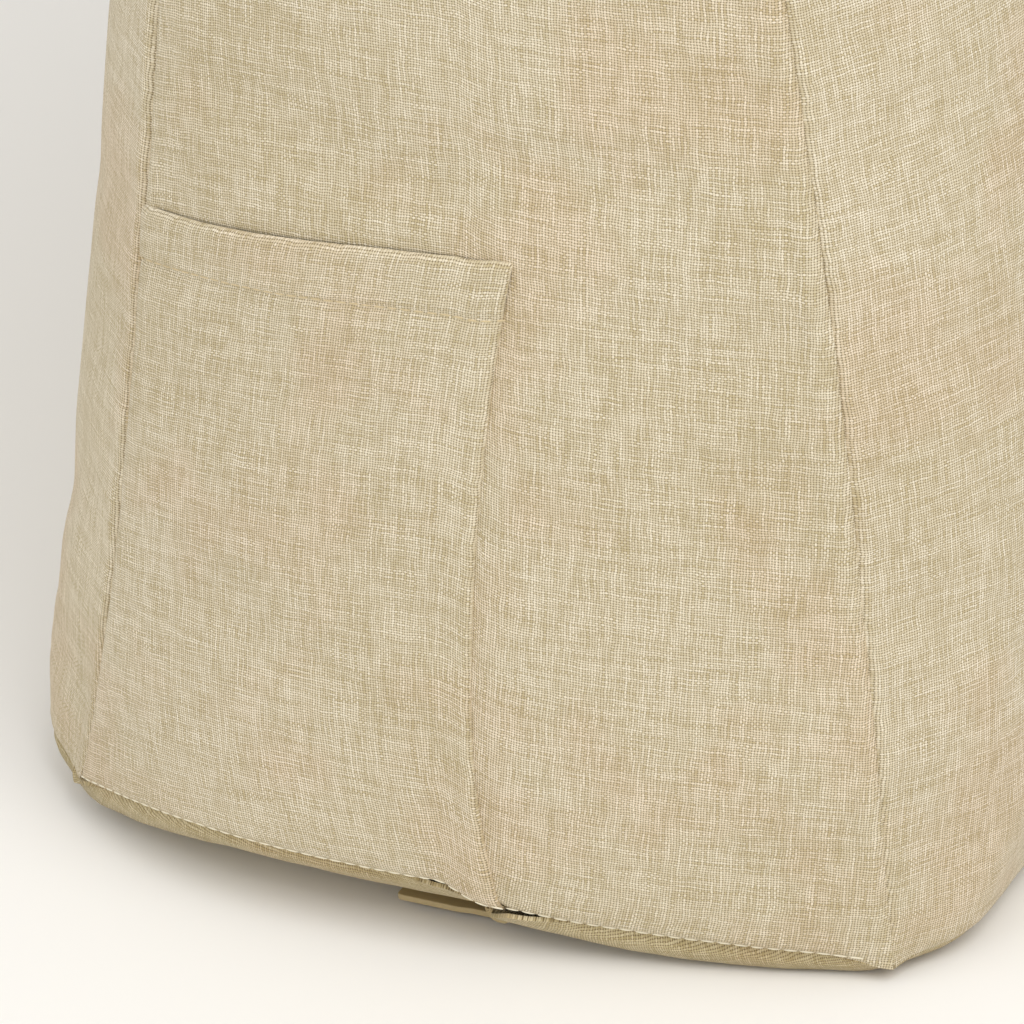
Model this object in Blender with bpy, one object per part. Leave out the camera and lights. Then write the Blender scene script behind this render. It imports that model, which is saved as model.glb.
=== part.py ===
"""Wedge bolster: a tall fibre-filled cushion with a zip-off linen-look cover.

The cushion stands on its base. Z is up, X runs along the cushion and the front face looks to -Y.
Every fabric piece is cut from one closed cage, whose rings follow the sewn seams.
"""

import math

import bmesh
import bpy
from mathutils import Vector

# Overall sizes, in metres
LENGTH = 0.600  # between the lower corners of the two end panels
DEPTH = 0.200  # front seam to back seam, at the base
HEIGHT = 0.500  # floor to the ridge seam

# Side curves of the end panels
FRONT_LEAN = 0.010  # how far the front seam's lower handle leans in
FRONT_REACH = 0.40  # height of that handle, as a share of HEIGHT
BACK_LEAN = 0.030
BACK_REACH = 0.24
RIDGE_HALF = 0.047  # half the width of the rounded ridge
ARC_DROP = 0.045  # where the ridge arc starts, below the top
SHOULDER_DROP = 0.078  # last straight row of the end panels, below the top

# Fullness of the stuffed panels
FACE_BULGE = 0.026  # front and back panels, out from their seams
BASE_BULGE = 0.010  # the same at the base seam
FACE_EDGE_POWER = 12  # how squarely that fullness reaches the end seams
FACE_RISE = 0.050  # height over which it builds up from the base
RIDGE_BULGE = 0.004
END_BULGE_LOW = 0.0256  # end panels, at the base seam
END_BULGE_MID = 0.013  # end panels, from the pocket's mouth up
END_POWER = 2.4
CORNER_TUCK = 0.008  # the lower corners sit this much inside the side seams
TUCK_RISE = 0.050

# Base: two rounded lobes with a channel for the zip between them
SEAM_LIFT = 0.0065  # base seam above the floor, at the corners
SEAM_SAG = 0.0013  # extra lift of the base seam at mid depth
LOBE_ROUND = 0.012  # a lobe's rounding, inside the base seam
END_ROUND = 0.014  # the same at the two ends
CHANNEL_HALF = 0.030
CHANNEL_SLOPE = 0.010
CHANNEL_RISE = 0.0032

# Fabric
COVER_WALL = 0.0012
LINER_WALL = 0.0006
SEAM_GAP = 0.0003  # between neighbouring panels
LINER_GAP = 0.0005  # cover to liner
FILL_GAP = 0.0004  # liner to fibre fill

# Pocket on the left end panel
POCKET_TOP = 0.168
POCKET_HEM = 0.0135
POCKET_ROOM = 0.0090  # space behind the pocket, at the middle of its mouth
POCKET_CLEAR = 0.0006  # pocket to end panel, along the stitched edges
POCKET_EDGE_GAP = 0.0010  # pocket to the seams that catch it

# Zip, along the base
ZIP_Y = -0.011
ZIP_HALF = 0.010  # half the width of the opening in the cover
ZIP_EDGE_Z = 0.0078
ZIP_ROOF_Z = 0.0125  # liner's height above the zip
TAPE_Z = 0.0080
TAPE_WALL = 0.0006
TAPE_END = 0.0100  # tape's end, short of the end seam
COIL_RADIUS = 0.0011
COIL_HALF_GAP = 0.0008  # from the zip's middle line to each coil
COIL_CLEAR = 0.0003
COIL_SIDES = 10

# Slider and pull
PLATE_WALL = 0.0012
SLIDER_LENGTH = 0.0085
SLIDER_HALF = 0.0042
SLIDER_INSET = 0.0130  # slider's front edge, in from the end seam
SLIDER_CLEAR = 0.0004
PULL_CLEAR = 0.0003  # pull's barrel to the outer plate
SLIDER_STEP = 0.0004  # neck and flanges, in from the plates' ends
FLANGE_STEP = 0.0001  # flanges, in from the plates' long edges
POST_STEP = 0.0002  # bridge posts, in from the plates' ends
BRIDGE_SHARE = 0.96  # bridge's radius, as a share of the posts' half width
NECK_HALF = 0.0005
NECK_LENGTH = 0.0030
FLANGE_WALL = 0.0008
BRIDGE_RADIUS = 0.0005
PULL_EYE_RADIUS = 0.0008
PULL_RADIUS = 0.0014
PULL_WALL = 0.0014
PULL_WIDTH = 0.0054
PULL_LENGTH = 0.026
PULL_GRIP_HALF = 0.0030
PULL_TIP_ROUND = 0.0012
TAB_STEP = 0.0002  # tab's root, inside the barrel's faces
NECK_SHARE = 0.30  # where the tab's neck ends, as a share of its length
GRIP_SHARE = 0.42  # where its grip starts

LINEN = (0.62, 0.52, 0.38)
LINER_WHITE = (0.82, 0.81, 0.78)
FIBRE_WHITE = (0.90, 0.90, 0.89)
TAPE_BEIGE = (0.55, 0.46, 0.31)
METAL_BEIGE = (0.50, 0.42, 0.29)


def clear_scene():
    for obj in list(bpy.data.objects):
        bpy.data.objects.remove(obj, do_unlink=True)


def make_material(name, colour, roughness, metallic=0.0):
    material = bpy.data.materials.new(name)
    material.use_nodes = True
    shader = material.node_tree.nodes["Principled BSDF"]
    shader.inputs["Base Color"].default_value = (*colour, 1.0)
    shader.inputs["Roughness"].default_value = roughness
    shader.inputs["Metallic"].default_value = metallic
    return material


def add_object(name, mesh, material, collection, parent):
    mesh.materials.append(material)
    obj = bpy.data.objects.new(name, mesh)
    obj.parent = parent
    collection.objects.link(obj)
    return obj


# ---- Section of the cushion -------------------------------------------------


def side_curve(side, share):
    """A point of the front (side -1) or back (side +1) seam, as (y, z)."""
    lean, reach = (FRONT_LEAN, FRONT_REACH) if side < 0 else (BACK_LEAN, BACK_REACH)
    handles = (
        (side * DEPTH / 2, SEAM_LIFT),
        (side * (DEPTH / 2 - lean), reach * HEIGHT),
        (side * RIDGE_HALF, HEIGHT),
        (0.0, HEIGHT),
    )
    rest = 1.0 - share
    weights = (rest**3, 3 * rest**2 * share, 3 * rest * share**2, share**3)
    return tuple(sum(w * h[axis] for w, h in zip(weights, handles)) for axis in (0, 1))


def share_at_height(side, z):
    low, high = 0.0, 1.0
    for _ in range(50):
        middle = (low + high) / 2
        if side_curve(side, middle)[1] < z:
            low = middle
        else:
            high = middle
    return (low + high) / 2


def base_columns():
    """Columns of the base from front to back, each (y, height inside the ends, is it a zip column)."""
    half = DEPTH / 2
    front_channel = ZIP_Y - CHANNEL_HALF
    back_channel = ZIP_Y + CHANNEL_HALF
    front_lobe = (-half + LOBE_ROUND, front_channel - CHANNEL_SLOPE)
    back_lobe = (back_channel + CHANNEL_SLOPE, half - LOBE_ROUND)
    return [
        (-half, SEAM_LIFT, False),
        (front_lobe[0], 0.0, False),
        (sum(front_lobe) / 2, 0.0, False),
        (front_lobe[1], 0.0, False),
        (front_channel, CHANNEL_RISE, False),
        (ZIP_Y - ZIP_HALF, ZIP_EDGE_Z, True),
        (ZIP_Y, ZIP_ROOF_Z, True),
        (ZIP_Y + ZIP_HALF, ZIP_EDGE_Z, True),
        (back_channel, CHANNEL_RISE, False),
        (back_lobe[0], 0.0, False),
        (sum(back_lobe) / 2, 0.0, False),
        (back_lobe[1], 0.0, False),
        (half, SEAM_LIFT, False),
    ]


def row_heights():
    """Heights of the end panels' rows above the base seam, up to the shoulder."""
    hem_row = POCKET_TOP - POCKET_HEM
    low = [SEAM_LIFT + (hem_row - SEAM_LIFT) * step / 3 for step in (1, 2, 3)]
    shoulder = HEIGHT - SHOULDER_DROP
    high = [POCKET_TOP + (shoulder - POCKET_TOP) * step / 4 for step in (0, 1, 2, 3, 4)]
    return low + high


COLUMNS = base_columns()
ROWS = row_heights()
LAST_COLUMN = len(COLUMNS) - 1
TOP_ROW = len(ROWS) + 1
RIDGE_COLUMN = LAST_COLUMN // 2
ZIP_COLUMNS = [index for index, column in enumerate(COLUMNS) if column[2]]
MOUTH_ROW = 4


def seam_frame(column, row):
    """The (y, z) of a lattice point of the end panel, where its border is the sewn seam."""
    y_base, z_inside, on_zip = COLUMNS[column]
    half = DEPTH / 2
    if row == 0:
        sagged = SEAM_LIFT + SEAM_SAG * (1 - (y_base / half) ** 2)
        return y_base, z_inside if on_zip else sagged
    if row == TOP_ROW:
        side = -1 if column <= RIDGE_COLUMN else 1
        start = share_at_height(side, HEIGHT - ARC_DROP)
        along = column / RIDGE_COLUMN if side < 0 else (LAST_COLUMN - column) / RIDGE_COLUMN
        return side_curve(side, start + (1 - start) * along)
    z = ROWS[row - 1]
    y_front = side_curve(-1, share_at_height(-1, z))[0]
    y_back = side_curve(1, share_at_height(1, z))[0]
    return y_front + (y_back - y_front) * (y_base + half) / DEPTH, z


def end_reach(column, row):
    """How far the end panel stands out from the lower corner, along X."""
    y_base = COLUMNS[column][0]
    z = seam_frame(column, row)[1]
    tuck = CORNER_TUCK * (1 - math.exp(-max(0.0, z - SEAM_LIFT) / TUCK_RISE)) if row else 0.0
    climb = min(1.0, max(0.0, z - SEAM_LIFT) / (POCKET_TOP - SEAM_LIFT)) if row else 0.0
    fullness = END_BULGE_LOW + (END_BULGE_MID - END_BULGE_LOW) * climb
    if row == TOP_ROW:
        fullness = 0.0
    across = 1 - abs(y_base / (DEPTH / 2)) ** END_POWER
    return tuck + fullness * across * (1 - (z / HEIGHT) ** 6)


# ---- The cage ---------------------------------------------------------------


def stations():
    """Positions along X, from the left end seam to the right one."""
    half = LENGTH / 2
    inner = half - END_ROUND
    near = half - 0.17 * half
    right = [0.3 * half, 0.6 * half, near, inner, half]
    return [-x for x in reversed(right)] + [0.0] + right


STATIONS = stations()
LAST_STATION = len(STATIONS) - 1


def ring():
    """Border of the end panel's lattice as (column, row), once round from the front base corner."""
    base = [(column, 0) for column in range(LAST_COLUMN + 1)]
    back = [(LAST_COLUMN, row) for row in range(1, TOP_ROW)]
    arc = [(column, TOP_ROW) for column in range(LAST_COLUMN, -1, -1)]
    front = [(0, row) for row in range(TOP_ROW - 1, 0, -1)]
    return base + back + arc + front


def swept_point(station, column, row):
    """A point of the front, back or base panel."""
    x = STATIONS[station]
    half = LENGTH / 2
    y, z = seam_frame(column, row)
    x_out = x * (half + end_reach(column, row)) / half
    if station in (0, LAST_STATION):
        return Vector((x_out, y, z))
    squareness = 1 - abs(x / half) ** FACE_EDGE_POWER
    if row == 0:
        outer = {0: -BASE_BULGE, LAST_COLUMN: BASE_BULGE}.get(column, 0.0)
        return Vector((x_out, y + outer * squareness, COLUMNS[column][1]))
    if row == TOP_ROW and column == RIDGE_COLUMN:
        return Vector((x_out, y, z + RIDGE_BULGE * squareness))
    side = -1 if column < RIDGE_COLUMN else 1
    share = share_at_height(side, z)
    y_next, z_next = side_curve(side, min(1.0, share + 0.01))
    y_last, z_last = side_curve(side, max(0.0, share - 0.01))
    normal = Vector((0.0, side * (z_next - z_last), side * (y_last - y_next))).normalized()
    rise = 1 - math.exp(-(z - SEAM_LIFT) / FACE_RISE)
    fade = share**4
    full = BASE_BULGE + (FACE_BULGE - BASE_BULGE) * rise
    swell = squareness * (full * (1 - fade) + RIDGE_BULGE * fade)
    return Vector((x_out, y, z)) + normal * swell


def panel_name(column, row, next_column, next_row):
    """Which swept panel the ring's step from one lattice point to the next belongs to."""
    if row == 0 and next_row == 0:
        if next_column <= ZIP_COLUMNS[0]:
            return "base_front"
        if column >= ZIP_COLUMNS[-1]:
            return "base_back"
        return "zip_strip"
    middle = (column + next_column) / 2
    return "front" if middle < RIDGE_COLUMN else "back"


def build_cage():
    """The closed outer surface of the cover, and its faces by panel."""
    cage = bmesh.new()
    border = ring()
    swept = {}
    for station in range(LAST_STATION + 1):
        for column, row in border:
            swept[station, column, row] = cage.verts.new(swept_point(station, column, row))
    quads = []
    for step, (column, row) in enumerate(border):
        next_column, next_row = border[(step + 1) % len(border)]
        name = panel_name(column, row, next_column, next_row)
        for station in range(LAST_STATION):
            corners = [
                swept[station, column, row],
                swept[station, next_column, next_row],
                swept[station + 1, next_column, next_row],
                swept[station + 1, column, row],
            ]
            quads.append((name, corners))
    for name, station, side in (("end_left", 0, -1), ("end_right", LAST_STATION, 1)):
        lattice = {}
        for column in range(LAST_COLUMN + 1):
            for row in range(TOP_ROW + 1):
                if (station, column, row) in swept:
                    lattice[column, row] = swept[station, column, row]
                    continue
                y, z = seam_frame(column, row)
                x = side * (LENGTH / 2 + end_reach(column, row))
                lattice[column, row] = cage.verts.new((x, y, z))
        for column in range(LAST_COLUMN):
            for row in range(TOP_ROW):
                corners = [
                    lattice[column, row],
                    lattice[column + 1, row],
                    lattice[column + 1, row + 1],
                    lattice[column, row + 1],
                ]
                pocketed = name == "end_left" and column >= RIDGE_COLUMN and row < MOUTH_ROW
                quads.append((name + "_pocketed" if pocketed else name, corners))
    panel_names = sorted({name for name, _ in quads})
    for name, corners in quads:
        face = cage.faces.new(corners)
        face.material_index = panel_names.index(name)
    bmesh.ops.recalc_face_normals(cage, faces=cage.faces)
    bmesh.ops.triangulate(cage, faces=cage.faces, quad_method="FIXED")
    cage.normal_update()
    faces = {name: [] for name in panel_names}
    for face in cage.faces:
        faces[panel_names[face.material_index]].append(face)
    return cage, faces


# ---- Solids cut from the cage -----------------------------------------------


def mitre(vert, _chosen=None):
    """Direction along which the two walls beside a seam share one mitre."""
    return vert.normal * vert.calc_shell_factor()


def face_on(vert, chosen):
    """Direction square to the chosen faces alone, for a piece laid on top of them."""
    total = Vector()
    for face in vert.link_faces:
        if face in chosen:
            total += face.normal * face.calc_area()
    return total.normalized()


def edge_pull(vert, chosen, lean, distance):
    """Moves a border point of a piece in from its seams, square to each of them."""
    normal = lean(vert, chosen).normalized()
    inward = []
    for edge in vert.link_edges:
        inside = [face for face in edge.link_faces if face in chosen]
        if len(inside) != 1:
            continue
        along = (edge.verts[1].co - edge.verts[0].co).normalized()
        across = along.cross(normal).normalized()
        centre = inside[0].calc_center_median() - edge.verts[0].co
        inward.append(across if across.dot(centre) > 0 else -across)
    if len(inward) < 2:
        return Vector()
    first, second = inward[:2]
    return distance * (first + second) / (1 + max(first.dot(second), -0.5))


def wall_mesh(name, faces, outer, inner, gap, lean=mitre):
    """A closed piece of fabric over some of the cage's faces.

    outer and inner give each point's height over the cage, positive outwards.
    """
    chosen = set(faces)
    mesh = bmesh.new()
    near, far = {}, {}
    for vert in dict.fromkeys(vert for face in faces for vert in face.verts):
        base = vert.co + edge_pull(vert, chosen, lean, gap)
        outwards = lean(vert, chosen)
        near[vert] = mesh.verts.new(base + outwards * outer(vert))
        far[vert] = mesh.verts.new(base + outwards * inner(vert))
    for face in faces:
        mesh.faces.new([near[vert] for vert in face.verts])
        mesh.faces.new([far[vert] for vert in reversed(face.verts)])
        for loop in face.loops:
            if sum(other in chosen for other in loop.edge.link_faces) != 1:
                continue
            start, end = loop.vert, loop.link_loop_next.vert
            mesh.faces.new([near[end], near[start], far[start], far[end]])
    bmesh.ops.recalc_face_normals(mesh, faces=mesh.faces)
    result = bpy.data.meshes.new(name)
    mesh.to_mesh(result)
    mesh.free()
    return result


def offset_mesh(name, cage, depth):
    """The whole cage, shrunk by depth, as one solid."""
    copy = bmesh.new()
    verts = {}
    for vert in cage.verts:
        verts[vert] = copy.verts.new(vert.co - mitre(vert) * depth)
    for face in cage.faces:
        copy.faces.new([verts[vert] for vert in face.verts])
    result = bpy.data.meshes.new(name)
    copy.to_mesh(result)
    copy.free()
    return result


def pocket_room(vert):
    """Height of the pocket's inner face over the end panel."""
    y, z = vert.co.y, vert.co.z
    climb = min(1.0, max(0.0, (z - SEAM_LIFT) / (POCKET_TOP - SEAM_LIFT)))
    y_front = side_curve(-1, share_at_height(-1, max(z, SEAM_LIFT)))[0]
    y_back = side_curve(1, share_at_height(1, max(z, SEAM_LIFT)))[0]
    share = (y - y_front) / (y_back - y_front)
    edge_share = (ZIP_Y + DEPTH / 2) / DEPTH
    across = min(1.0, max(0.0, (share - edge_share) / (1 - edge_share)))
    belly = math.sqrt(max(0.0, math.sin(math.pi * across)))
    return POCKET_CLEAR + POCKET_ROOM * belly * climb**0.6


def pocket_face(vert):
    folds = 2 if vert.co.z > POCKET_TOP - POCKET_HEM / 2 else 1
    return pocket_room(vert) + folds * COVER_WALL


def add_fabric(cage, faces, materials, collection, parent):
    linen, liner, fibre = materials
    left_end = faces["end_left"] + faces["end_left_pocketed"]
    cover = {
        "cover_front_panel": faces["front"],
        "cover_back_panel": faces["back"],
        "cover_end_panel_left": left_end,
        "cover_end_panel_right": faces["end_right"],
        "cover_base_panel_front": faces["base_front"],
        "cover_base_panel_back": faces["base_back"],
    }
    for name, chosen in cover.items():
        mesh = wall_mesh(name, chosen, lambda v: 0.0, lambda v: -COVER_WALL, SEAM_GAP / 2)
        add_object(name, mesh, linen, collection, parent)
    pocketed = faces["end_left_pocketed"]
    mesh = wall_mesh("pocket_panel", pocketed, pocket_face, pocket_room, POCKET_EDGE_GAP, face_on)
    add_object("pocket_panel", mesh, linen, collection, parent)

    base = faces["base_front"] + faces["zip_strip"] + faces["base_back"]
    bag = {
        "liner_front": faces["front"],
        "liner_back": faces["back"],
        "liner_end_left": left_end,
        "liner_end_right": faces["end_right"],
        "liner_base": base,
    }
    top = -COVER_WALL - LINER_GAP
    for name, chosen in bag.items():
        mesh = wall_mesh(name, chosen, lambda v: top, lambda v: top - LINER_WALL, SEAM_GAP / 2)
        add_object(name, mesh, liner, collection, parent)
    depth = COVER_WALL + LINER_GAP + LINER_WALL + FILL_GAP
    add_object("fibre_fill", offset_mesh("fibre_fill", cage, depth), fibre, collection, parent)


# ---- Zip ----------------------------------------------------------------------


def box_into(mesh, low, high):
    """Adds a box between two corners to a bmesh."""
    cube = bmesh.ops.create_cube(mesh, size=1.0)
    for vert in cube["verts"]:
        vert.co = Vector(
            (low[axis] + (high[axis] - low[axis]) * (vert.co[axis] + 0.5)) for axis in range(3)
        )


def box_mesh(name, low, high):
    mesh = bmesh.new()
    box_into(mesh, low, high)
    result = bpy.data.meshes.new(name)
    mesh.to_mesh(result)
    mesh.free()
    return result


def zip_end():
    """Distance of the end seam from the middle, at the zip."""
    return LENGTH / 2 + end_reach(RIDGE_COLUMN, 0)


def add_tapes_and_coils(material, collection, parent):
    reach = zip_end() - TAPE_END
    for name, side in (("front", -1), ("back", 1)):
        edges = sorted(
            (ZIP_Y + side * (ZIP_HALF - SEAM_GAP), ZIP_Y + side * COIL_HALF_GAP)
        )
        low = (-reach, edges[0], TAPE_Z)
        high = (reach, edges[1], TAPE_Z + TAPE_WALL)
        tape = box_mesh("zip_tape_" + name, low, high)
        add_object("zip_tape_" + name, tape, material, collection, parent)
        bpy.ops.mesh.primitive_cylinder_add(
            vertices=COIL_SIDES,
            radius=COIL_RADIUS,
            depth=2 * reach,
            rotation=(0.0, math.pi / 2, 0.0),
            location=(
                0.0,
                ZIP_Y + side * (COIL_HALF_GAP + COIL_RADIUS),
                TAPE_Z - COIL_CLEAR - COIL_RADIUS,
            ),
        )
        coil = bpy.context.object
        coil.name = "zip_coil_" + name
        coil.data.materials.append(material)
        coil.data.shade_smooth()
        coil.data.set_sharp_from_angle(angle=math.radians(50))
        coil.parent = parent
        for old in coil.users_collection:
            old.objects.unlink(coil)
        collection.objects.link(coil)


def slider_levels():
    """Heights of the slider: pull axis, outer plate, flange top and inner plate, from below."""
    coil_bottom = TAPE_Z - COIL_CLEAR - 2 * COIL_RADIUS
    outer_top = coil_bottom - SLIDER_CLEAR
    outer_bottom = outer_top - PLATE_WALL
    axis = outer_bottom - PULL_CLEAR - PULL_RADIUS
    flange_top = TAPE_Z - SLIDER_CLEAR
    inner_bottom = TAPE_Z + TAPE_WALL + SLIDER_CLEAR
    return axis, outer_bottom, outer_top, flange_top, inner_bottom, inner_bottom + PLATE_WALL


def union(target, helper, cutters):
    """Joins a helper solid to the target, and keeps the helper out of the render."""
    cutters.objects.link(helper)
    helper.hide_render = True
    helper.display_type = "WIRE"
    modifier = target.modifiers.new("join " + helper.name, "BOOLEAN")
    modifier.operation = "UNION"
    modifier.object = helper


def add_slider(material, collection, cutters, parent):
    axis_z, outer_bottom, outer_top, flange_top, inner_bottom, inner_top = slider_levels()
    front = -zip_end() + SLIDER_INSET
    middle = front + SLIDER_LENGTH / 2
    origin = Vector((middle, ZIP_Y, axis_z))
    half = SLIDER_LENGTH / 2
    plate = box_mesh(
        "zip_slider",
        (-half, -SLIDER_HALF, outer_bottom - axis_z),
        (half, SLIDER_HALF, outer_top - axis_z),
    )
    slider = add_object("zip_slider", plate, material, collection, parent)
    slider.location = origin
    sunk = PLATE_WALL / 2
    boxes = {
        "slider_inner_plate": (
            (-half, -SLIDER_HALF, inner_bottom - axis_z),
            (half, SLIDER_HALF, inner_top - axis_z),
        ),
        "slider_neck": (
            (-half + SLIDER_STEP, -NECK_HALF, outer_top - axis_z - sunk),
            (-half + SLIDER_STEP + NECK_LENGTH, NECK_HALF, inner_bottom - axis_z + sunk),
        ),
        "slider_flange_front": (
            (-half + SLIDER_STEP, -SLIDER_HALF + FLANGE_STEP, outer_top - axis_z - sunk),
            (half - SLIDER_STEP, -SLIDER_HALF + FLANGE_WALL, flange_top - axis_z),
        ),
        "slider_flange_back": (
            (-half + SLIDER_STEP, SLIDER_HALF - FLANGE_WALL, outer_top - axis_z - sunk),
            (half - SLIDER_STEP, SLIDER_HALF - FLANGE_STEP, flange_top - axis_z),
        ),
        "slider_post_left": (
            (-half + POST_STEP, -BRIDGE_RADIUS, -BRIDGE_RADIUS),
            (-half + POST_STEP + 2 * BRIDGE_RADIUS, BRIDGE_RADIUS, outer_bottom - axis_z + sunk),
        ),
        "slider_post_right": (
            (half - POST_STEP - 2 * BRIDGE_RADIUS, -BRIDGE_RADIUS, -BRIDGE_RADIUS),
            (half - POST_STEP, BRIDGE_RADIUS, outer_bottom - axis_z + sunk),
        ),
    }
    for name, (low, high) in boxes.items():
        helper = bpy.data.objects.new(name, box_mesh(name, low, high))
        helper.parent = parent
        helper.location = origin
        union(slider, helper, cutters)
    bridge = bmesh.new()
    bmesh.ops.create_cone(
        bridge,
        cap_ends=True,
        segments=12,
        radius1=BRIDGE_RADIUS * BRIDGE_SHARE,
        radius2=BRIDGE_RADIUS * BRIDGE_SHARE,
        depth=SLIDER_LENGTH - 4 * BRIDGE_RADIUS,
    )
    for vert in bridge.verts:
        vert.co = Vector((vert.co.z, vert.co.y, -vert.co.x))
    mesh = bpy.data.meshes.new("slider_bridge")
    bridge.to_mesh(mesh)
    bridge.free()
    helper = bpy.data.objects.new("slider_bridge", mesh)
    helper.parent = parent
    helper.location = origin
    union(slider, helper, cutters)
    return origin


def tube_into(mesh, outer_radius, inner_radius, width, sides):
    """Adds a short tube along X, about the origin, to a bmesh."""
    rings = []
    for x, radius in ((-1, outer_radius), (1, outer_radius), (1, inner_radius), (-1, inner_radius)):
        points = []
        for step in range(sides):
            angle = 2 * math.pi * step / sides
            points.append(
                mesh.verts.new((x * width / 2, radius * math.cos(angle), radius * math.sin(angle)))
            )
        rings.append(points)
    for index in range(4):
        ring_a, ring_b = rings[index], rings[(index + 1) % 4]
        for step in range(sides):
            after = (step + 1) % sides
            mesh.faces.new([ring_a[step], ring_b[step], ring_b[after], ring_a[after]])
    bmesh.ops.recalc_face_normals(mesh, faces=mesh.faces)


def add_pull(origin, material, collection, cutters, parent):
    """The pull: a barrel round the slider's bridge, and a flat tab lying towards the back."""
    tube = bmesh.new()
    tube_into(tube, PULL_RADIUS, PULL_EYE_RADIUS, PULL_WIDTH, 20)
    mesh = bpy.data.meshes.new("zip_pull")
    tube.to_mesh(mesh)
    tube.free()
    pull = add_object("zip_pull", mesh, material, collection, parent)
    pull.location = origin
    half_wall = PULL_WALL / 2
    start = PULL_EYE_RADIUS + TAB_STEP
    outline = bpy.data.curves.new("pull_tab", "CURVE")
    outline.dimensions = "2D"
    outline.fill_mode = "BOTH"
    outline.extrude = half_wall
    spline = outline.splines.new("POLY")
    tip = PULL_LENGTH
    neck = PULL_WIDTH / 2 - TAB_STEP
    points = [(-neck, start), (neck, start), (neck, NECK_SHARE * tip), (PULL_GRIP_HALF, GRIP_SHARE * tip)]
    for step in range(5):
        angle = math.pi / 2 * step / 4
        points.append(
            (
                PULL_GRIP_HALF - PULL_TIP_ROUND + PULL_TIP_ROUND * math.cos(angle),
                tip - PULL_TIP_ROUND + PULL_TIP_ROUND * math.sin(angle),
            )
        )
    points += [(-x, y) for x, y in reversed(points[2:])]
    spline.points.add(len(points) - 1)
    for point, (x, y) in zip(spline.points, points):
        point.co = (x, y, 0.0, 1.0)
    spline.use_cyclic_u = True
    guide = bpy.data.objects.new("pull_tab_outline", outline)
    cutters.objects.link(guide)
    bpy.context.view_layer.update()
    graph = bpy.context.evaluated_depsgraph_get()
    tab_mesh = bpy.data.meshes.new_from_object(guide.evaluated_get(graph))
    bpy.data.objects.remove(guide, do_unlink=True)
    tab = bmesh.new()
    tab.from_mesh(tab_mesh)
    bmesh.ops.remove_doubles(tab, verts=tab.verts, dist=1e-6)
    bmesh.ops.recalc_face_normals(tab, faces=tab.faces)
    tab.to_mesh(tab_mesh)
    tab.free()
    helper = bpy.data.objects.new("pull_tab", tab_mesh)
    helper.parent = parent
    helper.location = origin
    union(pull, helper, cutters)


def centre_on_origin(parts, frame):
    """Moves the frame so that the middle of the whole object's box is over the origin."""
    bpy.context.view_layer.update()
    graph = bpy.context.evaluated_depsgraph_get()
    corners = []
    for obj in parts.objects:
        evaluated = obj.evaluated_get(graph)
        corners += [evaluated.matrix_world @ Vector(corner) for corner in evaluated.bound_box]
    for axis in (0, 1):
        values = [corner[axis] for corner in corners]
        frame.location[axis] = -(min(values) + max(values)) / 2


def main():
    clear_scene()
    scene = bpy.context.scene
    parts = bpy.data.collections.new("wedge_bolster")
    cutters = bpy.data.collections.new("cutters")
    scene.collection.children.link(parts)
    scene.collection.children.link(cutters)
    frame = bpy.data.objects.new("bolster_frame", None)
    scene.collection.objects.link(frame)

    linen = make_material("linen_look_polyester", LINEN, 0.85)
    liner = make_material("nonwoven_liner", LINER_WHITE, 0.90)
    fibre = make_material("polyester_fibre", FIBRE_WHITE, 0.95)
    tape = make_material("zip_tape_polyester", TAPE_BEIGE, 0.80)
    metal = make_material("painted_zinc", METAL_BEIGE, 0.45)

    cage, faces = build_cage()
    add_fabric(cage, faces, (linen, liner, fibre), parts, frame)
    cage.free()
    add_tapes_and_coils(tape, parts, frame)
    origin = add_slider(metal, parts, cutters, frame)
    add_pull(origin, metal, parts, cutters, frame)
    centre_on_origin(parts, frame)


main()
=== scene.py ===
import math

import bmesh
import bpy
import numpy as np
from mathutils import Matrix, Vector


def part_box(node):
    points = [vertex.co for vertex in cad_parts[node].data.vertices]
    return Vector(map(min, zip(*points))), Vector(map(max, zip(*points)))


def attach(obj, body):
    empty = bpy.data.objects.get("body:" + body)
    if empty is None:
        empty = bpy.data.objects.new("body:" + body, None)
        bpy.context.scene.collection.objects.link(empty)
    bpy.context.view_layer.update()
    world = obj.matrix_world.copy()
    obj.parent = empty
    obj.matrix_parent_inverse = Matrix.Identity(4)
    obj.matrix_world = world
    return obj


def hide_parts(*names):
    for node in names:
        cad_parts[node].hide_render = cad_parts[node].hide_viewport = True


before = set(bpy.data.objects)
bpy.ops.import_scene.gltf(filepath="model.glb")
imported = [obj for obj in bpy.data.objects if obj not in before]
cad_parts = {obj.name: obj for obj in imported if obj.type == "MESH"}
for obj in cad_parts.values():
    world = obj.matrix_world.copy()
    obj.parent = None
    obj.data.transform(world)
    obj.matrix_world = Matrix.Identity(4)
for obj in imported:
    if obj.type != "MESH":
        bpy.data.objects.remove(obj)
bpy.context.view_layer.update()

print("frame loaded,", len(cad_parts), "parts")

# The cushion's own middle lines, from where the zip tapes lie
frontTapeLow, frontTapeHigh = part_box("zip_tape_front")
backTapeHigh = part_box("zip_tape_back")[1]
zipY = -0.011  # the zip's middle line, seen from the cushion's middle
middle = np.array([
    (frontTapeLow.x + frontTapeHigh.x) / 2,
    (frontTapeLow.y + backTapeHigh.y) / 2 - zipY,
    0.0,
])


# Camera, floor and lights come first

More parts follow.
